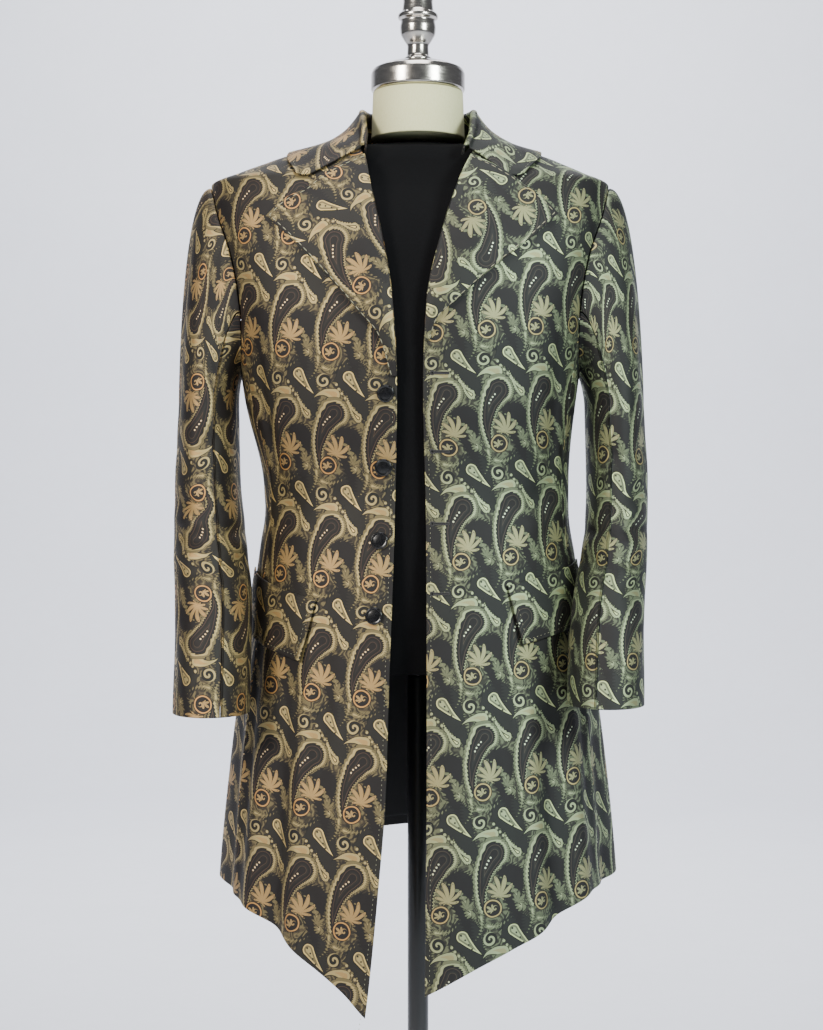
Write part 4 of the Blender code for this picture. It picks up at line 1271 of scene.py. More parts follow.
@dataclass(frozen=True)
class PickStitch:
    """Small hand stitches in a row beside an edge, each a short grain of thread sunk half way."""

    pitch: float = 0.0055
    length: float = 0.002
    radius: float = 0.00028
    proud: float = 0.0001

    def build(self, name: str, line: Array, normal: Array, material: Material) -> None:
        """Place one grain at every pitch along a line on the cloth.

        A grain is a spindle: its radius at a share s of its length is the full radius * sin(pi s) ** 0.5.

        Args:
            name: The piece's name.
            line: Points along the row of stitches.
            normal: The cloth's normal at each.
            material: The thread.
        """
        step = np.linalg.norm(np.diff(line, axis=0), axis=-1)
        run = np.concatenate(((0.0,), np.cumsum(step)))
        keep = np.concatenate(((True,), step > 1e-7))
        run, line, normal = run[keep], line[keep], normal[keep]
        count = int(run[-1] / self.pitch)
        at = (np.arange(count) + 0.5) * run[-1] / count
        share = np.array((0.02, 0.25, 0.5, 0.75, 0.98))
        places = at[:, None] + (share - 0.5) * self.length
        centre = np.stack([np.interp(places, run, line[:, k]) for k in range(3)], axis=-1)
        up = unit(np.stack([np.interp(places, run, normal[:, k]) for k in range(3)], axis=-1))
        ahead = unit(np.gradient(centre, axis=1))
        beside = unit(np.cross(ahead, up))
        turn = np.arange(6) * math.pi / 3.0
        size = self.radius * np.sqrt(np.sin(math.pi * share))[None, :, None, None]
        ring = np.cos(turn)[:, None] * beside[..., None, :] + np.sin(turn)[:, None] * up[..., None, :]
        points = centre[:, :, None] + size * ring + up[:, :, None] * self.proud
        index = np.arange(count * 30).reshape(count, 5, 6)
        index = np.concatenate((index, index[:, :, :1]), axis=2)
        quads = np.stack((index[:, :-1, :-1], index[:, :-1, 1:], index[:, 1:, 1:], index[:, 1:, :-1]), axis=-1)
        ends = np.concatenate((index[:, 0, :6][:, ::-1], index[:, -1, :6]))
        faces = quads.reshape(-1, 4).tolist() + ends.tolist()
        make_piece(name, points, faces, (material,))


@dataclass(frozen=True)
class Buttonhole:
    """A worked keyhole buttonhole: a corded edge round an eye and a slit, with a thin dark sheet of painted shadow in
    the slit.
    """

    height: float
    start: float = 0.0135
    length: float = 0.021
    eye: float = 0.0021
    half: float = 0.001
    cord: float = 0.00075

    def place(self, across: Array, up: Array, lift: float) -> tuple[Array, Array]:
        """Points on the left front at places across and up, with the cloth's normals.

        Args:
            across: Metres in from the eye.
            up: Metres above the hole's middle.
            lift: How far to stand off.

        Returns:
            Points, and the normal at each.
        """
        height = self.height + up
        angle = BODY.angle_at(self.start + across, height, Side.LEFT)
        return BODY.point(angle, height, lift), BODY.normal(angle, height)

    def build(self, number: int, thread: Material, dark: Material) -> None:
        """Build the corded edge and the slit.

        Args:
            number: The hole's number from the top.
            thread: The edge's material.
            dark: The slit's material, a painted shadow.
        """
        turn = np.radians(np.linspace(28.0, 332.0, 26))
        leg = np.linspace(self.eye * 1.6, self.length, 22)
        bar = np.linspace(-self.half, self.half, 5)[1:-1]
        across = np.concatenate((leg[::-1], self.eye * (1.0 + np.cos(turn)), leg, np.full(3, self.length)))
        up = np.concatenate((np.full(22, self.half), self.eye * np.sin(turn), np.full(22, -self.half), bar))
        path, normal = self.place(across, up, 0.0002)
        points, quads = tube(path, normal, self.cord, 8, True)
        make_piece(f"thread_buttonhole_{number}", points, quads.tolist(), (thread,))
        # The slit: a thin dark sheet of painted shadow on the cloth.
        rows, columns = net(np.linspace(-1.0, 1.0, 3), np.linspace(0.0, 1.0, 16))
        width = np.where(columns < 0.2, self.eye * 0.75, self.half * 0.8)
        outer, normal = self.place(0.0008 + columns * (self.length - 0.001), rows * width, 0.00025)
        flat = np.stack((columns, rows), axis=-1)
        Shell(0.0003, 0.00005, 1).build(f"buttonhole_slit_{number}", outer, normal, flat, (dark,))


def rounded(profile: Sequence, radius: float, steps: int = 5) -> Array:
    """A profile whose inner corners are rounded, each by a curve of degree two near the corner.

    Args:
        profile: Pairs of radius and height.
        radius: How far from a corner its rounding starts, at most 0.4 of each side.
        steps: Points on each rounding.

    Returns:
        The new profile.
    """
    points = np.array(profile, float)
    before, corner, after = points[:-2], points[1:-1], points[2:]
    back, ahead = before - corner, after - corner
    size_back = np.linalg.norm(back, axis=1, keepdims=True)
    size_ahead = np.linalg.norm(ahead, axis=1, keepdims=True)
    first = corner + back * np.minimum(radius / size_back, 0.4)
    last = corner + ahead * np.minimum(radius / size_ahead, 0.4)
    t = np.linspace(0.0, 1.0, steps)[None, :, None]
    curve = (1 - t) ** 2 * first[:, None] + 2 * t * (1 - t) * corner[:, None] + t**2 * last[:, None]
    return np.concatenate((points[:1], curve.reshape(-1, 2), points[-1:]))


def close_rings(rings: Array, low: tuple, high: tuple) -> tuple[Array, list]:
    """Close a stack of rings with a point below it and a point above it.

    Args:
        rings: Rows of rings of points.
        low: The point below.
        high: The point above.

    Returns:
        The points, and the faces as lists of vertex numbers.
    """
    count, sides = rings.shape[:2]
    points = np.concatenate((rings.reshape(-1, 3), (low, high)))
    index = np.arange(count * sides).reshape(count, sides)
    index = np.concatenate((index, index[:, :1]), axis=1)
    bottom = np.stack((index[0, 1:], index[0, :-1], np.full(sides, count * sides)), axis=-1)
    top = np.stack((index[-1, :-1], index[-1, 1:], np.full(sides, count * sides + 1)), axis=-1)
    return points, grid_faces(index).tolist() + bottom.tolist() + top.tolist()


@dataclass(frozen=True)
class Turning:
    """A turned solid: a profile of radius and height that starts and ends on its axis."""

    name: str
    profile: tuple
    slot: Slot
    rounding: float
    sides: int = 96

    def build(self, material: Material, place: Callable | None = None) -> None:
        """Turn the rounded profile about its axis: x = r cos a, y = r sin a.

        Args:
            material: The piece's material.
            place: What puts the points in their place.
        """
        profile = rounded(self.profile, self.rounding)
        turn = np.arange(self.sides) * 2.0 * math.pi / self.sides
        radius, height = profile[1:-1, :1], profile[1:-1, 1:]
        rings = np.stack((radius * np.cos(turn), radius * np.sin(turn), height + 0.0 * turn), axis=-1)
        points, faces = close_rings(rings, (0.0, 0.0, profile[0, 1]), (0.0, 0.0, profile[-1, 1]))
        if place is not None:
            points = place(points)
        item = make_piece(f"look_{self.name}", points, faces, (material,))
        item.data.set_sharp_from_angle(angle=SHARP)
        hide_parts(self.name)


BUTTON_PROFILE = (
    (0.0, 0.0), (0.0088, 0.0), (0.01, 0.0012), (0.01, 0.0026), (0.0088, 0.0036), (0.007, 0.003), (0.0, 0.0044),
)


@dataclass(frozen=True)
class Button:
    """One domed button with a rolled rim, its back just clear of the right front."""

    number: int
    across: float
    height: float
    seat: float

    def place(self, points: Array) -> Array:
        """Put the profile's points on the front, their height along its normal.

        Args:
            points: Points of a button that stands upright at the origin.

        Returns:
            The points in their place.
        """
        angle = np.array(-BODY.angle_at(self.across, self.height, Side.RIGHT))
        normal = BODY.normal(angle, np.array(self.height))
        centre = BODY.plain(angle, np.array(self.height)) + normal * self.seat
        level = unit(np.cross(np.array((0.0, 0.0, 1.0)), normal))
        upright = np.cross(normal, level)
        return centre + points[:, :1] * level + points[:, 1:2] * upright + points[:, 2:] * normal

    def build(self, material: Material) -> None:
        """Build the button."""
        Turning(f"button_{self.number}", BUTTON_PROFILE, Slot.BUTTON, 0.0009, 64).build(material, self.place)


BUTTONS = (
    Button(1, -0.037, 1.177, 0.0003), Button(2, -0.0394, 1.094, 0.0015), Button(3, -0.044, 1.011, 0.001),
    Button(4, -0.05, 0.926, 0.0007),
)
# How far the form stands inside the coat's rings, by height.
FORM_INSETS = (
    (0.86, 0.03), (0.95, 0.02), (1.07, 0.0095), (1.18, 0.0105), (1.3, 0.012), (1.4, 0.014),
    (1.432, 0.013), (1.445, 0.011), (1.455, 0.0095), (1.465, 0.0074), (1.475, 0.0054), (1.485, 0.0038),
)
FORM_BOTTOM, FORM_YOKE, FORM_LAST, FORM_TOP = 0.86, 1.4, 1.4835, 1.4895
STAND = (
    Turning("form_neck", ((0.0, 1.49), (0.056, 1.49), (0.054, 1.546), (0.0, 1.546)), Slot.NECK, 0.0015),
    Turning(
        "neck_cap",
        (
            (0.0, 1.5465), (0.053, 1.5465), (0.0564, 1.549), (0.0564, 1.568), (0.054, 1.5735), (0.038, 1.58),
            (0.0, 1.583),
        ),
        Slot.METAL,
        0.0015,
    ),
    Turning(
        "finial",
        (
            (0.0, 1.5835), (0.0175, 1.5835), (0.0175, 1.587), (0.0132, 1.59), (0.0125, 1.603), (0.016, 1.608),
            (0.0208, 1.616), (0.0216, 1.625), (0.02, 1.633), (0.024, 1.635), (0.024, 1.64), (0.019, 1.643),
            (0.0174, 1.656), (0.02, 1.666), (0.019, 1.678), (0.012, 1.687), (0.0, 1.69),
        ),
        Slot.METAL,
        0.0022,
        64,
    ),
    Turning("pole", ((0.0, 0.0503), (0.0125, 0.0503), (0.0125, 0.8475), (0.0, 0.8475)), Slot.ENAMEL, 0.0008, 48),
    Turning(
        "base",
        (
            (0.0, 0.0), (0.17, 0.0), (0.17, 0.008), (0.164, 0.0125), (0.05, 0.02), (0.03, 0.03),
            (0.024, 0.05), (0.0, 0.05),
        ),
        Slot.ENAMEL,
        0.003,
    ),
)


@dataclass(frozen=True)
class Torso:
    """The limbless form inside the coat: smooth rings, closed at the bottom and at the neck."""

    rows: int = 90
    columns: int = 120
    hollow: float = 0.014
    hollow_low: float = 1.37
    hollow_high: float = 1.45
    dish: float = 0.012

    def build(self, material: Material) -> None:
        """Build the torso: the coat's rings moved in by the form's clearance at each height.

        Args:
            material: The piece's material.
        """
        half = self.rows // 2
        yoke = np.linspace(FORM_YOKE, FORM_LAST, half)[1:]
        shares = np.concatenate((np.linspace(FORM_BOTTOM, FORM_YOKE, half), yoke))
        height, around = net(shares, np.arange(self.columns) * 360.0 / self.columns + 5.0)
        middle, across, along = BODY.bare(around, height)
        plain = np.stack((middle + across, along, height), axis=-1)
        hollow = ease((height - self.hollow_low) / (self.hollow_high - self.hollow_low))
        before = np.clip(np.cos(np.radians(around)), 0.0, 1.0)
        inset = smooth(FORM_INSETS, 1, height) + self.hollow * hollow * before**2
        rings = plain - BODY.normal(around, height) * inset[..., None]
        points, faces = close_rings(rings, (0.0, 0.0, FORM_BOTTOM - self.dish), (0.0, 0.0, FORM_TOP))
        item = make_piece("look_form_torso", points, faces, (material,))
        item.data.set_sharp_from_angle(angle=SHARP)
        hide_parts("form_torso")


def linear(red: float, green: float, blue: float) -> tuple[float, float, float, float]:
    """A screen colour of 0 to 255 as the linear colour a shader takes.

    Args:
        red: Its red.
        green: Its green.
        blue: Its blue.

    Returns:
        The colour and a full alpha.
    """
    share = np.array((red, green, blue), float) / 255.0
    values = np.where(share <= 0.04045, share / 12.92, ((share + 0.055) / 1.055) ** 2.4)
    return (*values.tolist(), 1.0)


class Num:
    """A number in a shader, so that a formula is written as plain arithmetic."""

    def __init__(self, tree: Tree, socket: Socket) -> None:
        """Hold a socket of a tree."""
        self.tree, self.socket = tree, socket

    def math(self, kind: str, *others: "Num | float", clamp: bool = False) -> "Num":
        """One step of arithmetic on this number and others.

        Args:
            kind: The step's name in Blender.
            others: The other numbers.
            clamp: Whether to hold it from 0 to 1.

        Returns:
            The result.
        """
        node = self.tree.nodes.new("ShaderNodeMath")
        node.operation, node.use_clamp = kind, clamp
        for place, item in enumerate((self, *others)):
            if isinstance(item, Num):
                self.tree.links.new(item.socket, node.inputs[place])
            else:
                node.inputs[place].default_value = float(item)
        return Num(self.tree, node.outputs[0])

    def __add__(self, other: "Num | float") -> "Num":
        """Sum."""
        return self.math("ADD", other)

    def __sub__(self, other: "Num | float") -> "Num":
        """Difference."""
        return self.math("SUBTRACT", other)

    def __mul__(self, other: "Num | float") -> "Num":
        """Product."""
        return self.math("MULTIPLY", other)

    def __truediv__(self, other: "Num | float") -> "Num":
        """Quotient."""
        return self.math("DIVIDE", other)

    def over(self, low: float, high: float) -> "Num":
        """0 at low, 1 at high, straight between and held outside."""
        span = high - low
        return self.math("MULTIPLY_ADD", 1.0 / span, -low / span, clamp=True)


def texture(tree: Tree, kind: str, vector: Socket, output: str, **settings: float) -> Num:
    """A texture read at a vector.

    Args:
        tree: The material's nodes.
        kind: The texture's kind in its node's name.
        vector: Where to read it.
        output: The output to use.
        settings: Its inputs, with an underscore for each space in a name.

    Returns:
        The texture's number.
    """
    node = tree.nodes.new(f"ShaderNodeTex{kind}")
    tree.links.new(vector, node.inputs["Vector"])
    for key, value in settings.items():
        node.inputs[key.replace("_", " ")].default_value = value
    return Num(tree, node.outputs[output])


def roughen(tree: Tree, height: Num, strength: float, distance: float) -> None:
    """Bump a material's shader.

    Args:
        tree: The material's nodes.
        height: The height that the bump follows.
        strength: The bump's strength.
        distance: The height of a full step, in metres.
    """
    bump = tree.nodes.new("ShaderNodeBump")
    bump.inputs["Strength"].default_value = strength
    bump.inputs["Distance"].default_value = distance
    tree.links.new(height.socket, bump.inputs["Height"])
    tree.links.new(bump.outputs[0], tree.nodes["Principled BSDF"].inputs["Normal"])


def new_material(name: str) -> tuple[Material, Tree]:
    """A new material with nodes, and its nodes.

    Args:
        name: The material's name.

    Returns:
        The material and its nodes.
    """
    material = bpy.data.materials.new(name)
    material.use_nodes = True
    return material, material.node_tree


@dataclass(frozen=True)
class Drop:
    """One figure of the weave: a round head and a tail that tapers to a point and bends.

    With s along the tail's axis and c across it, in millimetres, the depth inside the outline is the
    larger of radius - distance and radius * (1 - s / length) - |c|. The axis turns with the distance
    from the head by the bend. Bands of colour follow the depth, from the outside inwards.
    The wave adds round lobes along the edge, or sharp teeth where it is negative, and the lean thins the
    outer bands on one side of the tail.
    """

    x: float
    y: float
    radius: float
    length: float
    heading: float
    bend: float
    bands: tuple
    wave: float = 0.0
    around: float = 0.0
    along: float = 0.0
    lean: float = 0.0


@dataclass(frozen=True)
class Palm:
    """A fan of petals: its radius is longest along the heading and dips between the petals, which bend."""

    x: float
    y: float
    radius: float
    heading: float
    petals: float
    bend: float
    bands: tuple


@dataclass(frozen=True)
class Curl:
    """A spiral line: the share of a turn less the distance in pitches, kept within a band."""

    x: float
    y: float
    radius: float
    pitch: float
    start: float
    colour: tuple
    other: tuple


# The threads' colours on a screen, the repeat in millimetres, and the figures in it.
DARK = (27, 27, 28)
NIGHT = (17, 13, 17)
INK = (9, 8, 9)
GROUND = (72, 69, 60)
UMBER = (78, 64, 58)
SAGE = (112, 112, 93)
PALE = (172, 171, 142)
PEACH = (168, 154, 122)
COPPER = (190, 160, 116)
CREAM = (214, 208, 164)
IVORY = (240, 234, 216)
TILE = (60.0, 130.0)
FIGURES = (
    Drop(18.6, 87.2, 19.5, 66.0, 67.0, 0.0, ((-1.1, INK), (0.0, DARK)), -6.0, 9.5, 0.85),
    Drop(17.0, 31.0, 17.0, 62.0, 92.0, 0.003, ((-0.8, INK), (0.0, NIGHT)), -5.0, 8.0, 0.8),
    Drop(25.5, 62.0, 4.6, 34.0, -98.0, 0.01, ((-0.7, INK), (0.0, SAGE), (2.2, PALE)), 3.4, 2.0, 0.62),
    Drop(-26.5, 36.0, 3.4, 26.0, 80.0, -0.006, ((-0.7, INK), (0.0, GROUND)), 2.6, 2.0, 0.6),
    Drop(15.1, 87.5, 6.4, 29.0, 54.0, 0.004, ((-1.3, INK), (-0.1, CREAM), (1.3, SAGE), (3.4, PALE))),
    Drop(0.5, 109.0, 6.2, 25.0, 207.0, 0.026, ((-0.9, INK), (0.0, PALE), (3.0, PEACH))),
    Curl(-13.5, 94.0, 8.6, 6.4, 0.15, PALE, INK),
    Drop(28.0, 3.0, 4.6, 26.0, 222.0, -0.012, ((-0.9, INK), (0.0, PALE), (1.9, INK), (2.9, CREAM)), 1.3, 3.0, 1.1),
    Drop(
        0.0, 0.0, 12.0, 71.0, 133.0, 0.0073,
        (
            (-6.9, INK), (-6.2, SAGE), (-3.4, PALE), (-0.7, INK), (0.0, NIGHT), (1.4, UMBER), (2.0, NIGHT),
            (4.6, DARK), (6.4, UMBER), (6.9, NIGHT),
        ),
        1.6, 9.0, 0.9, 3.0,
    ),
    Drop(-15.0, 79.0, 3.8, 24.0, 20.0, 0.02, ((-0.7, INK), (0.0, SAGE), (1.6, PALE)), -2.6, 4.0, 0.8),
    Drop(-22.0, 68.0, 3.4, 24.0, 78.0, -0.02, ((-0.7, INK), (0.0, SAGE), (1.4, PALE)), -2.4, 4.0, 0.8),
    Palm(1.0, 47.0, 23.0, -74.0, 5.5, 0.02, ((-1.0, INK), (0.0, PEACH), (1.7, UMBER), (2.3, PEACH))),
    Palm(22.0, 57.0, 13.0, -60.0, 4.5, 0.024, ((-0.8, INK), (0.0, GROUND), (1.6, SAGE))),
    Drop(-7.5, 60.5, 10.0, 10.1, 0.0, 0.0, ((-1.0, INK), (-0.1, COPPER), (1.5, NIGHT))),
    Palm(-8.4, 63.0, 8.0, -125.0, 3.5, 0.03, ((-0.4, INK), (0.0, PEACH))),
    Curl(-4.6, 60.5, 3.6, 4.4, 0.55, PEACH, NIGHT),
)
DOTS = ((-4.6, 4.6), (-7.4, 7.6), (-10.0, 10.8), (-12.2, 14.4))
EYES = ((13.6, 85.6), (17.8, 91.0), (21.6, 96.8), (25.0, 102.4))
BEADS = ((2.0, 97.5), (5.2, 102.6), (8.8, 107.2), (12.6, 111.6), (16.2, 116.4))


@dataclass(frozen=True)
class Brocade:
    """A paisley brocade, every figure of its repeat drawn by formula, with a ribbed weave, a sheen, and a painted
    light tint: warm on the wearer's right, cool green on the left.
    """

    name: str
    figure_rough: float = 0.4
    ground_rough: float = 0.58
    lustre: float = 0.6
    # Painted light tints: warm on the wearer's right side and cool green on the left, standing in for warm and cool
    # light falling from each side.
    warm: tuple = (1.06, 0.82, 0.55, 1.0)
    cool: tuple = (0.82, 1.0, 0.86, 1.0)
    reach: float = 14.0
    step: float = 0.006
    rib_up: float = 0.00085
    rib_across: float = 0.0007

    @staticmethod
    def wrapped(u: Num, v: Num, x: float, y: float) -> tuple[Num, Num]:
        """Millimetres from a figure's middle, in the nearest repeat of the tile.

        Args:
            u: The place across, in repeats.
            v: The place down, in repeats.
            x: The figure's place across.
            y: Its place down.

        Returns:
            Millimetres across and down.
        """
        across = ((u - (x / TILE[0] - 0.5)).math("FRACT") - 0.5) * TILE[0]
        down = ((v - (y / TILE[1] - 0.5)).math("FRACT") - 0.5) * TILE[1]
        return across, down

    @staticmethod
    def lay(tree: Tree, under: Socket | tuple, colour: Socket | tuple, cover: Socket) -> Socket:
        """One colour laid over another by its cover.

        Args:
            tree: The material's nodes.
            under: The colour below.
            colour: The colour above.
            cover: How much of it covers.

        Returns:
            The colour seen.
        """
        node = tree.nodes.new("ShaderNodeMix")
        node.data_type = "RGBA"
        for socket, item in ((node.inputs[0], cover), (node.inputs[6], under), (node.inputs[7], colour)):
            if isinstance(item, tuple):
                socket.default_value = item
            else:
                tree.links.new(item, socket)
        return node.outputs[2]

    def ramp(self, tree: Tree, depth: Num, bands: tuple) -> tuple[Socket, Socket]:
        """Colour and cover by depth, in narrow steps.

        Args:
            tree: The material's nodes.
            depth: Millimetres inside the outline.
            bands: Pairs of first depth and colour.

        Returns:
            Colour and cover.
        """
        low, span = -self.reach, 2.0 * self.reach
        node = tree.nodes.new("ShaderNodeValToRGB")
        tree.links.new(depth.over(low, self.reach).socket, node.inputs[0])
        elements = node.color_ramp.elements
        last = (*linear(*bands[0][1])[:3], 0.0)
        elements[0].position, elements[0].color = 0.0, last
        elements.remove(elements[1])
        for start, rgb in bands:
            place = (start - low) / span
            before = elements.new(place - self.step)
            before.color = last
            last = linear(*rgb)
            after = elements.new(place + self.step)
            after.color = last
        return node.outputs["Color"], node.outputs["Alpha"]

    def drop(self, tree: Tree, u: Num, v: Num, under: Socket, drop: Drop) -> Socket:
        """Lay one drop over the weave.

        Args:
            tree: The material's nodes.
            u: The place across, in repeats.
            v: The place down, in repeats.
            under: The colour below.
            drop: The drop.

        Returns:
            The colour seen.
        """
        across, down = self.wrapped(u, v, drop.x, drop.y)
        far = (across * across + down * down).math("SQRT")
        turn = down.math("ARCTAN2", across)
        aim = far * drop.bend + turn - math.radians(drop.heading)
        s, c = far * aim.math("COSINE"), far * aim.math("SINE")
        ahead = s.math("MAXIMUM", 0.0)
        behind = s.math("MINIMUM", 0.0)
        tail = ahead * (-drop.radius / drop.length) + behind * 4.0 - c.math("ABSOLUTE") + drop.radius
        depth = (far * -1.0 + drop.radius).math("MAXIMUM", tail)
        if drop.wave:
            phase = s * drop.along + turn * drop.around
            size = abs(drop.wave)
            lobes = phase.math("SINE").math("ABSOLUTE") * drop.wave + max(-drop.wave, 0.0)
            outside = depth.over(size * 1.2, 0.0)
            depth = depth + lobes * outside - size * 0.45
        if drop.lean:
            thin = c.over(0.0, -3.0) * s.over(0.0, 22.0) * drop.lean + 1.0
            depth = (depth * thin).math("MINIMUM", depth)
        colour, cover = self.ramp(tree, depth, drop.bands)
        return self.lay(tree, under, colour, cover)

    def palm(self, tree: Tree, u: Num, v: Num, under: Socket, palm: Palm) -> Socket:
        """Lay one fan of petals over the weave.

        Args:
            tree: The material's nodes.
            u: The place across, in repeats.
            v: The place down, in repeats.
            under: The colour below.
            palm: The fan.

        Returns:
            The colour seen.
        """
        across, down = self.wrapped(u, v, palm.x, palm.y)
        far = (across * across + down * down).math("SQRT")
        turn = down.math("ARCTAN2", across) - math.radians(palm.heading)
        fan = turn.math("COSINE") * 0.45 + 0.55
        bent = (turn + far * palm.bend) * palm.petals
        petal = bent.math("COSINE").math("ABSOLUTE") * 0.76 + 0.24
        depth = fan * petal * palm.radius - far
        colour, cover = self.ramp(tree, depth, palm.bands)
        return self.lay(tree, under, colour, cover)

    def curl(self, tree: Tree, u: Num, v: Num, under: Socket, curl: Curl) -> Socket:
        """Lay one spiral over the weave.

        Args:
            tree: The material's nodes.
            u: The place across, in repeats.
            v: The place down, in repeats.
            under: The colour below.
            curl: The spiral.

        Returns:
            The colour seen.
        """
        across, down = self.wrapped(u, v, curl.x, curl.y)
        far = (across * across + down * down).math("SQRT")
        turn = down.math("ARCTAN2", across) * (1.0 / (2.0 * math.pi))
        phase = (turn - far * (1.0 / curl.pitch) + (curl.start + 4.0)).math("FRACT")
        line = (phase - 0.5).math("ABSOLUTE").over(0.16, 0.24)
        inside = far.over(curl.radius, curl.radius - 0.6)
        colour = self.lay(tree, linear(*curl.colour), linear(*curl.other), line.socket)
        return self.lay(tree, under, colour, inside.socket)

    def spots(
        self, tree: Tree, u: Num, v: Num, under: Socket, places: tuple, radius: float, rgb: tuple
    ) -> Socket:
        """Lay a row of round spots over the weave.

        Args:
            tree: The material's nodes.
            u: The place across, in repeats.
            v: The place down, in repeats.
            under: The colour below.
            places: Their middles.
            radius: Their radius.
            rgb: Their colour.

        Returns:
            The colour seen.
        """
        near = None
        for x, y in places:
            across, down = self.wrapped(u, v, x, y)
            far = across * across + down * down
            near = far if near is None else near.math("MINIMUM", far)
        cover = near.over((radius * 1.25) ** 2, (radius * 0.8) ** 2)
        return self.lay(tree, under, linear(*rgb), cover.socket)

    def make(self) -> Material:
        """Build the material.

        Returns:
            The brocade.
        """
        material, tree = new_material(self.name)
        nodes, links = tree.nodes, tree.links
        shader = nodes["Principled BSDF"]
        cloth = nodes.new("ShaderNodeUVMap")
        cloth.uv_map = "Cloth"
        spot = cloth.outputs[0]
        split = nodes.new("ShaderNodeSeparateXYZ")
        links.new(spot, split.inputs[0])
        x, y = Num(tree, split.outputs[0]), Num(tree, split.outputs[1])
        drift = texture(tree, "Noise", spot, "Fac", Scale=60.0, Detail=1.0) - 0.5
        u = x * (1000.0 / TILE[0]) + drift * 0.04
        v = y * (-1000.0 / TILE[1]) + drift * 0.02
        leaf = texture(tree, "Voronoi", spot, "Distance", Scale=190.0, Randomness=0.9)
        vine = texture(tree, "Wave", spot, "Fac", Scale=34.0, Distortion=14.0, Detail=1.0, Detail_Scale=2.2)
        weave = self.lay(tree, linear(*GROUND), linear(*DARK), (leaf.over(0.46, 0.34) * 0.75).socket)
        weave = self.lay(tree, weave, linear(*SAGE), (vine.over(0.66, 0.8) * 0.85).socket)
        weave = self.lay(tree, weave, linear(*INK), (vine.over(0.3, 0.16) * 0.6).socket)
        for figure in FIGURES:
            draw = {Drop: self.drop, Palm: self.palm, Curl: self.curl}[type(figure)]
            weave = draw(tree, u, v, weave, figure)
        weave = self.spots(tree, u, v, weave, DOTS, 0.95, IVORY)
        weave = self.spots(tree, u, v, weave, EYES, 1.1, DARK)
        weave = self.spots(tree, u, v, weave, BEADS, 1.5, PALE)
        grey = nodes.new("ShaderNodeRGBToBW")
        links.new(weave, grey.inputs[0])
        light = Num(tree, grey.outputs[0])
        # Painted light: the weave is multiplied by a tint, warm where x is below zero and cool green above it.
        place = nodes.new("ShaderNodeTexCoord")
        where = nodes.new("ShaderNodeSeparateXYZ")
        links.new(place.outputs["Object"], where.inputs[0])
        side = Num(tree, where.outputs[0]).over(-0.05, 0.07)
        painted_light_tint = self.lay(tree, self.warm, self.cool, side.socket)
        painted_light_mix = nodes.new("ShaderNodeMix")
        painted_light_mix.data_type, painted_light_mix.blend_type = "RGBA", "MULTIPLY"
        painted_light_mix.inputs[0].default_value = 1.0
        links.new(weave, painted_light_mix.inputs[6])
        links.new(painted_light_tint, painted_light_mix.inputs[7])
        rib_v = (y * (2.0 * math.pi / self.rib_up)).math("SINE")
        rib_u = (x * (2.0 * math.pi / self.rib_across)).math("SINE")
        grain = texture(tree, "Noise", spot, "Fac", Scale=900.0, Detail=2.0)
        thread = (rib_v * 0.06 + rib_u * 0.04 + grain * 0.4 + 0.8).socket
        spun = nodes.new("ShaderNodeVectorMath")
        spun.operation = "SCALE"
        links.new(painted_light_mix.outputs[2], spun.inputs[0])
        links.new(thread, spun.inputs["Scale"])
        links.new(spun.outputs[0], shader.inputs["Base Color"])
        rough = light * ((self.figure_rough - self.ground_rough) * 2.2) + self.ground_rough
        links.new(rough.math("MAXIMUM", self.figure_rough).socket, shader.inputs["Roughness"])
        links.new((light.over(0.03, 0.3) * self.lustre).socket, shader.inputs["Metallic"])
        roughen(tree, rib_v * 0.12 + rib_u * 0.1 + grain * 0.35, 0.6, 0.0004)
        plain = {"Sheen Weight": 0.02, "Sheen Roughness": 0.4, "Sheen Tint": (0.95, 0.95, 0.85, 1.0)}
        for key, value in (*plain.items(), ("Specular IOR Level", 0.42)):
            shader.inputs[key].default_value = value
        return material


@dataclass(frozen=True)
class Finish:
    """A plain finish with a grain: two colours, two roughnesses and a bump, mixed by one noise."""

    name: str
    colour: tuple
    other: tuple
    rough: float
    rough_other: float
    scale: float
    stretch: tuple = (1.0, 1.0, 1.0)
    bump: float = 0.0
    metallic: float = 0.0
    sheen: float = 0.0
    coat: float = 0.0
    specular: float = 0.5

    def make(self) -> Material:
        """Build the material from Object coordinates.

        Returns:
            The finish.
        """
        material, tree = new_material(self.name)
        nodes, links = tree.nodes, tree.links
        shader = nodes["Principled BSDF"]
        place = nodes.new("ShaderNodeTexCoord")
        mapping = nodes.new("ShaderNodeMapping")
        mapping.inputs["Scale"].default_value = self.stretch
        links.new(place.outputs["Object"], mapping.inputs["Vector"])
        coarse = texture(tree, "Noise", mapping.outputs[0], "Fac", Scale=self.scale, Detail=4.0)
        fine = texture(tree, "Noise", mapping.outputs[0], "Fac", Scale=self.scale * 7.0, Detail=2.0)
        both = coarse * 0.6 + fine * 0.4
        share = both.over(0.35, 0.65)
        mix = nodes.new("ShaderNodeMix")
        mix.data_type = "RGBA"
        links.new(share.socket, mix.inputs[0])
        mix.inputs[6].default_value = linear(*self.colour)
        mix.inputs[7].default_value = linear(*self.other)
        links.new(mix.outputs[2], shader.inputs["Base Color"])
        rough = share * (self.rough_other - self.rough) + self.rough
        links.new(rough.socket, shader.inputs["Roughness"])
        shader.inputs["Metallic"].default_value = self.metallic
        shader.inputs["Sheen Weight"].default_value = self.sheen
        shader.inputs["Coat Weight"].default_value = self.coat
        shader.inputs["Specular IOR Level"].default_value = self.specular
        if self.bump > 0.0:
            roughen(tree, both, 0.6, self.bump)
        return material


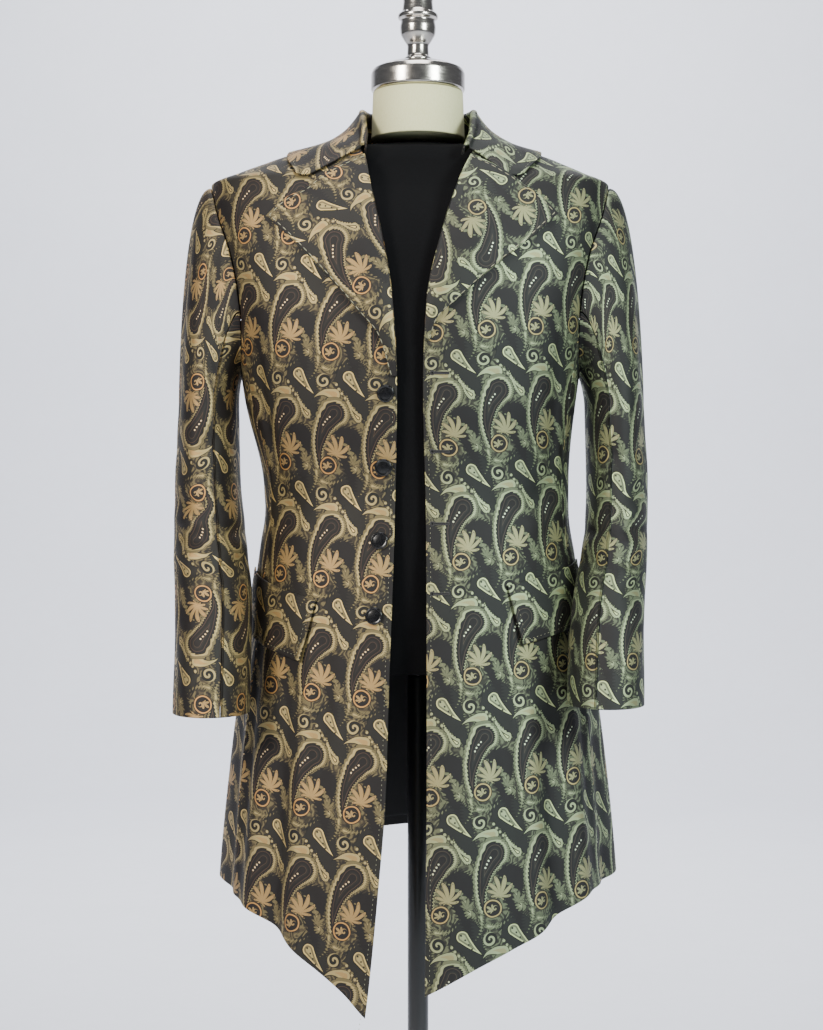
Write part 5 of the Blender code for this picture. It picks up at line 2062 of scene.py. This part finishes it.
FINISHES = {
    Slot.LINING: Finish(
        "lining_satin", (11, 11, 13), (18, 18, 21), 0.4, 0.52, 260.0, (1.0, 1.0, 0.25), 0.0002, specular=0.25
    ),
    Slot.BUTTON: Finish("button_gloss", (9, 9, 11), (15, 15, 18), 0.22, 0.3, 300.0, coat=0.2),
    Slot.JERSEY: Finish(
        "form_jersey", (10, 10, 12), (17, 17, 19), 0.9, 0.98, 900.0, (1.0, 1.0, 0.4), 0.0003, specular=0.12
    ),
    Slot.NECK: Finish(
        "neck_cotton", (226, 224, 168), (236, 234, 190), 0.78, 0.88, 700.0, (1.0, 1.0, 0.5), 0.0003, sheen=0.15
    ),
    Slot.METAL: Finish(
        "nickel", (196, 190, 182), (212, 207, 200), 0.14, 0.26, 90.0, (1.0, 1.0, 6.0), 0.00003, metallic=1.0
    ),
    Slot.ENAMEL: Finish("black_enamel", (16, 16, 17), (22, 22, 24), 0.28, 0.4, 180.0, bump=0.00006, coat=0.3),
}
THREAD = Finish("thread_dark", (26, 24, 26), (48, 44, 44), 0.5, 0.65, 1500.0, bump=0.0002, sheen=0.2)
SLIT = Finish("slit_shadow", (8, 8, 9), (13, 13, 14), 0.8, 0.9, 800.0)
PICK = Finish("thread_pick", (132, 130, 106), (166, 162, 132), 0.5, 0.65, 1500.0, bump=0.0001, sheen=0.2)


# Each light's name, place, aim, size in metres, power in watts and colour.
LIGHTS = (
    ("soft_left", (-2.0, -2.3, 2.3), (0.0, 0.0, 1.1), 0.9, 90.0, (1.0, 0.95, 0.86)),
    ("soft_right", (1.9, -2.2, 2.1), (0.0, 0.0, 1.0), 0.9, 90.0, (0.9, 1.0, 0.96)),
    ("soft_top", (0.0, -0.5, 3.2), (0.0, 0.0, 1.2), 1.2, 30.0, (1.0, 1.0, 1.0)),
    ("wall_wash", (0.0, 2.2, 4.6), (0.0, 6.2, 1.2), 2.4, 520.0, (0.97, 0.98, 1.0)),
)


@dataclass(frozen=True)
class Stage:
    """The pale floor that sweeps up behind the coat, the lights and the camera."""

    front: float = -8.0
    bend_start: float = 4.6
    bend: float = 1.8
    top: float = 8.0
    half_width: float = 7.0
    air: tuple = (0.8, 0.84, 0.92, 1.0)
    air_strength: float = 0.15
    lens: float = 67.0
    camera_place: tuple = (-0.0078, -2.3, 1.04)

    def floor(self) -> None:
        """Build a sweep: level in front, then a quarter round, then upright."""
        turn = np.linspace(0.0, math.pi / 2.0, 24)
        bend = self.bend_start + self.bend * np.sin(turn)
        along = np.concatenate(((self.front, 0.0), bend, (self.bend_start + self.bend,)))
        height = np.concatenate(((0.0, 0.0), self.bend * (1.0 - np.cos(turn)), (self.top,)))
        rows, across = net(np.arange(len(along)), np.linspace(-self.half_width, self.half_width, 3))
        points = np.stack((across, along[rows.astype(int)], height[rows.astype(int)]), axis=-1)
        index = np.arange(points.shape[0] * 3).reshape(-1, 3)
        mesh = bpy.data.meshes.new("sweep")
        mesh.from_pydata(points.reshape(-1, 3), [], grid_faces(index)[:, ::-1].tolist())
        mesh.materials.append(Finish("sweep_paint", (228, 230, 239), (231, 233, 242), 0.9, 0.95, 3.0).make())
        mesh.shade_smooth()
        item = bpy.data.objects.new("sweep", mesh)
        bpy.context.scene.collection.objects.link(item)

    def light(self, name: str, place: tuple, aim: tuple, size: float, power: float, colour: tuple) -> None:
        """Build one square soft light that looks at a point.

        Args:
            name: Its name.
            place: Where it hangs.
            aim: The point it looks at.
            size: Its side in metres.
            power: Watts.
            colour: Its colour.
        """
        data = bpy.data.lights.new(name, "AREA")
        data.size, data.energy, data.color = size, power, colour
        item = bpy.data.objects.new(name, data)
        bpy.context.scene.collection.objects.link(item)
        item.location = place
        ahead = np.array(aim, float) - np.array(place, float)
        turn = math.atan2(ahead[1], ahead[0]) - math.pi / 2.0
        tilt = math.atan2(ahead[2], math.hypot(ahead[0], ahead[1])) + math.pi / 2.0
        item.rotation_euler = (tilt, 0.0, turn)

    def lights(self) -> None:
        """Build the soft lights, warm on the left and cooler on the right, and the pale air."""
        for light in LIGHTS:
            self.light(*light)
        world = bpy.data.worlds.new("air")
        world.use_nodes = True
        world.node_tree.nodes["Background"].inputs[0].default_value = self.air
        world.node_tree.nodes["Background"].inputs[1].default_value = self.air_strength
        bpy.context.scene.world = world

    def camera(self) -> None:
        """Build the camera: level, 2.3 m in front of the form's axis."""
        data = bpy.data.cameras.new("camera")
        data.lens, data.sensor_width = self.lens, 36.0
        item = bpy.data.objects.new("camera", data)
        bpy.context.scene.collection.objects.link(item)
        item.location = self.camera_place
        item.rotation_euler = (math.pi / 2.0, 0.0, 0.0)
        bpy.context.scene.camera = item


@dataclass(frozen=True)
class FrockCoat:
    """The coat: its panels, sleeves, collar, lapels, flaps, buttons, buttonholes and stitches."""

    cloth: Material
    lining: Material
    button: Material
    thread: Material
    dark: Material
    pick: Material
    PANELS = {
        Side.RIGHT: (
            FrontPanel(Side.RIGHT, Cut(0.27, 1.11, 0.19), Lay(-0.1, 1.0253, -5.0)),
            SidePanel(Side.RIGHT, Cut(0.14, 0.66, 0.074), Lay(0.01, 1.0253), columns=36, datum=90.0),
            BackPanel(Side.RIGHT, Cut(0.29, 0.97, 0.197), Lay(0.015, 1.0253), datum=180.0),
        ),
        Side.LEFT: (
            FrontPanel(Side.LEFT, Cut(0.27, 1.09, 0.199), Lay(0.112, 1.0519, 5.0)),
            SidePanel(Side.LEFT, Cut(0.14, 0.65, 0.073), Lay(0.0, 1.0519), columns=36, datum=90.0),
            BackPanel(Side.LEFT, Cut(0.29, 0.96, 0.192), Lay(0.015, 1.0253), datum=180.0),
        ),
    }
    LININGS = {Side.RIGHT: Cut(0.28, 0.61, 0.13), Side.LEFT: Cut(0.28, 0.6, 0.127)}
    SLEEVE_PAIR = (
        Sleeve(Side.RIGHT, Lay(0.01, 0.02, 180.0), Cut(0.27, 0.64, 0.124), Cut(0.16, 0.5, 0.066)),
        Sleeve(Side.LEFT, Lay(0.016, 0.05, 0.0), Cut(0.27, 0.62, 0.121), Cut(0.16, 0.48, 0.064)),
    )
    LAPELS = (
        Lapel(Side.RIGHT, Cut(0.14, 0.245, 0.0175), Lay(-0.085, 1.35, 38.0)),
        Lapel(Side.LEFT, Cut(0.136, 0.22, 0.016), Lay(0.085, 1.33, 196.0)),
    )
    FLAPS = (
        Flap(Side.RIGHT, Cut(0.137, 0.074, 0.0101), Lay(-0.1, 1.0253, -5.0), 0.1155, 0.943, 0.873, 86.0, 0.978, 0.908),
        Flap(Side.LEFT, Cut(0.133, 0.071, 0.0094), Lay(0.112, 1.0519, 5.0), 0.1, 0.96, 0.892, 80.0, 0.988, 0.922),
    )
    COLLAR = Collar(Cut(0.52, 0.15, 0.062), Lay(0.0, 0.0, 90.0))
    HOLES = (1.2, 1.112, 1.03, 0.951)
    STITCH_START = {Side.RIGHT: 0.46, Side.LEFT: 0.52}
    STITCH_INSET = 0.005
    LAPEL_STITCH = PickStitch(0.009, 0.0062, 0.00052)

    def build(self) -> None:
        """Build every piece of the coat."""
        for side, (front, under_arm, back) in self.PANELS.items():
            front.build(self.cloth, self.lining)
            under_arm.build(self.cloth, self.lining)
            back.build(self.cloth, self.lining)
            back.build_lining(self.lining, self.LININGS[side])
        for sleeve in self.SLEEVE_PAIR:
            sleeve.build(self.cloth, self.lining)
        self.COLLAR.build(self.cloth)
        for lapel in self.LAPELS:
            lapel.build(self.cloth)
        for flap in self.FLAPS:
            flap.build(self.cloth)
        for button in BUTTONS:
            button.build(self.button)
        for number, height in enumerate(self.HOLES, start=1):
            Buttonhole(height).build(number, self.thread, self.dark)
        self.stitch()

    def stitch(self) -> None:
        """Sew the rows of pick stitches beside the fronts, lapels, flaps and collar."""
        for lapel in self.LAPELS:
            side = lapel.side
            line, normal = lapel.border(0.0026)
            self.LAPEL_STITCH.build(f"stitches_lapel_{side.word}", line, normal, self.pick)
            height = np.linspace(self.STITCH_START[side], LAPEL_BREAK[side] - 0.01, 500)
            across = edge_across(side, height) + side.value * self.STITCH_INSET
            angle = side.value * BODY.angle_at(across, height, side)
            line, normal = BODY.point(angle, height), BODY.normal(angle, height)
            PickStitch().build(f"stitches_front_{side.word}", line, normal, self.pick)
        for flap in self.FLAPS:
            line, normal = flap.border(self.STITCH_INSET)
            PickStitch().build(f"stitches_flap_{flap.side.word}", line, normal, self.pick)
        around = np.linspace(-0.97, 0.97, 700)
        points = self.COLLAR.point(around, np.full_like(around, 0.94))
        inward = self.COLLAR.point(around, np.full_like(around, 0.9))
        normal = unit(np.cross(np.gradient(points, axis=0), inward - points))
        normal = normal * np.sign(np.sum(normal[:, 2]))
        PickStitch().build("stitches_collar", points, normal, self.pick)


def main() -> None:
    """Build the stage, the form and the coat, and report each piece."""
    logging.basicConfig(level=logging.INFO, format="%(name)s: %(message)s")
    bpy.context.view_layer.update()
    finishes = {slot: finish.make() for slot, finish in FINISHES.items()}
    stage = Stage()
    stage.floor()
    stage.lights()
    stage.camera()
    Torso().build(finishes[Slot.JERSEY])
    for turning in STAND:
        turning.build(finishes[turning.slot])
    coat = FrockCoat(
        Brocade("paisley_brocade").make(), finishes[Slot.LINING], finishes[Slot.BUTTON],
        THREAD.make(), SLIT.make(), PICK.make(),
    )
    coat.build()


if __name__ == "__main__":
    main()
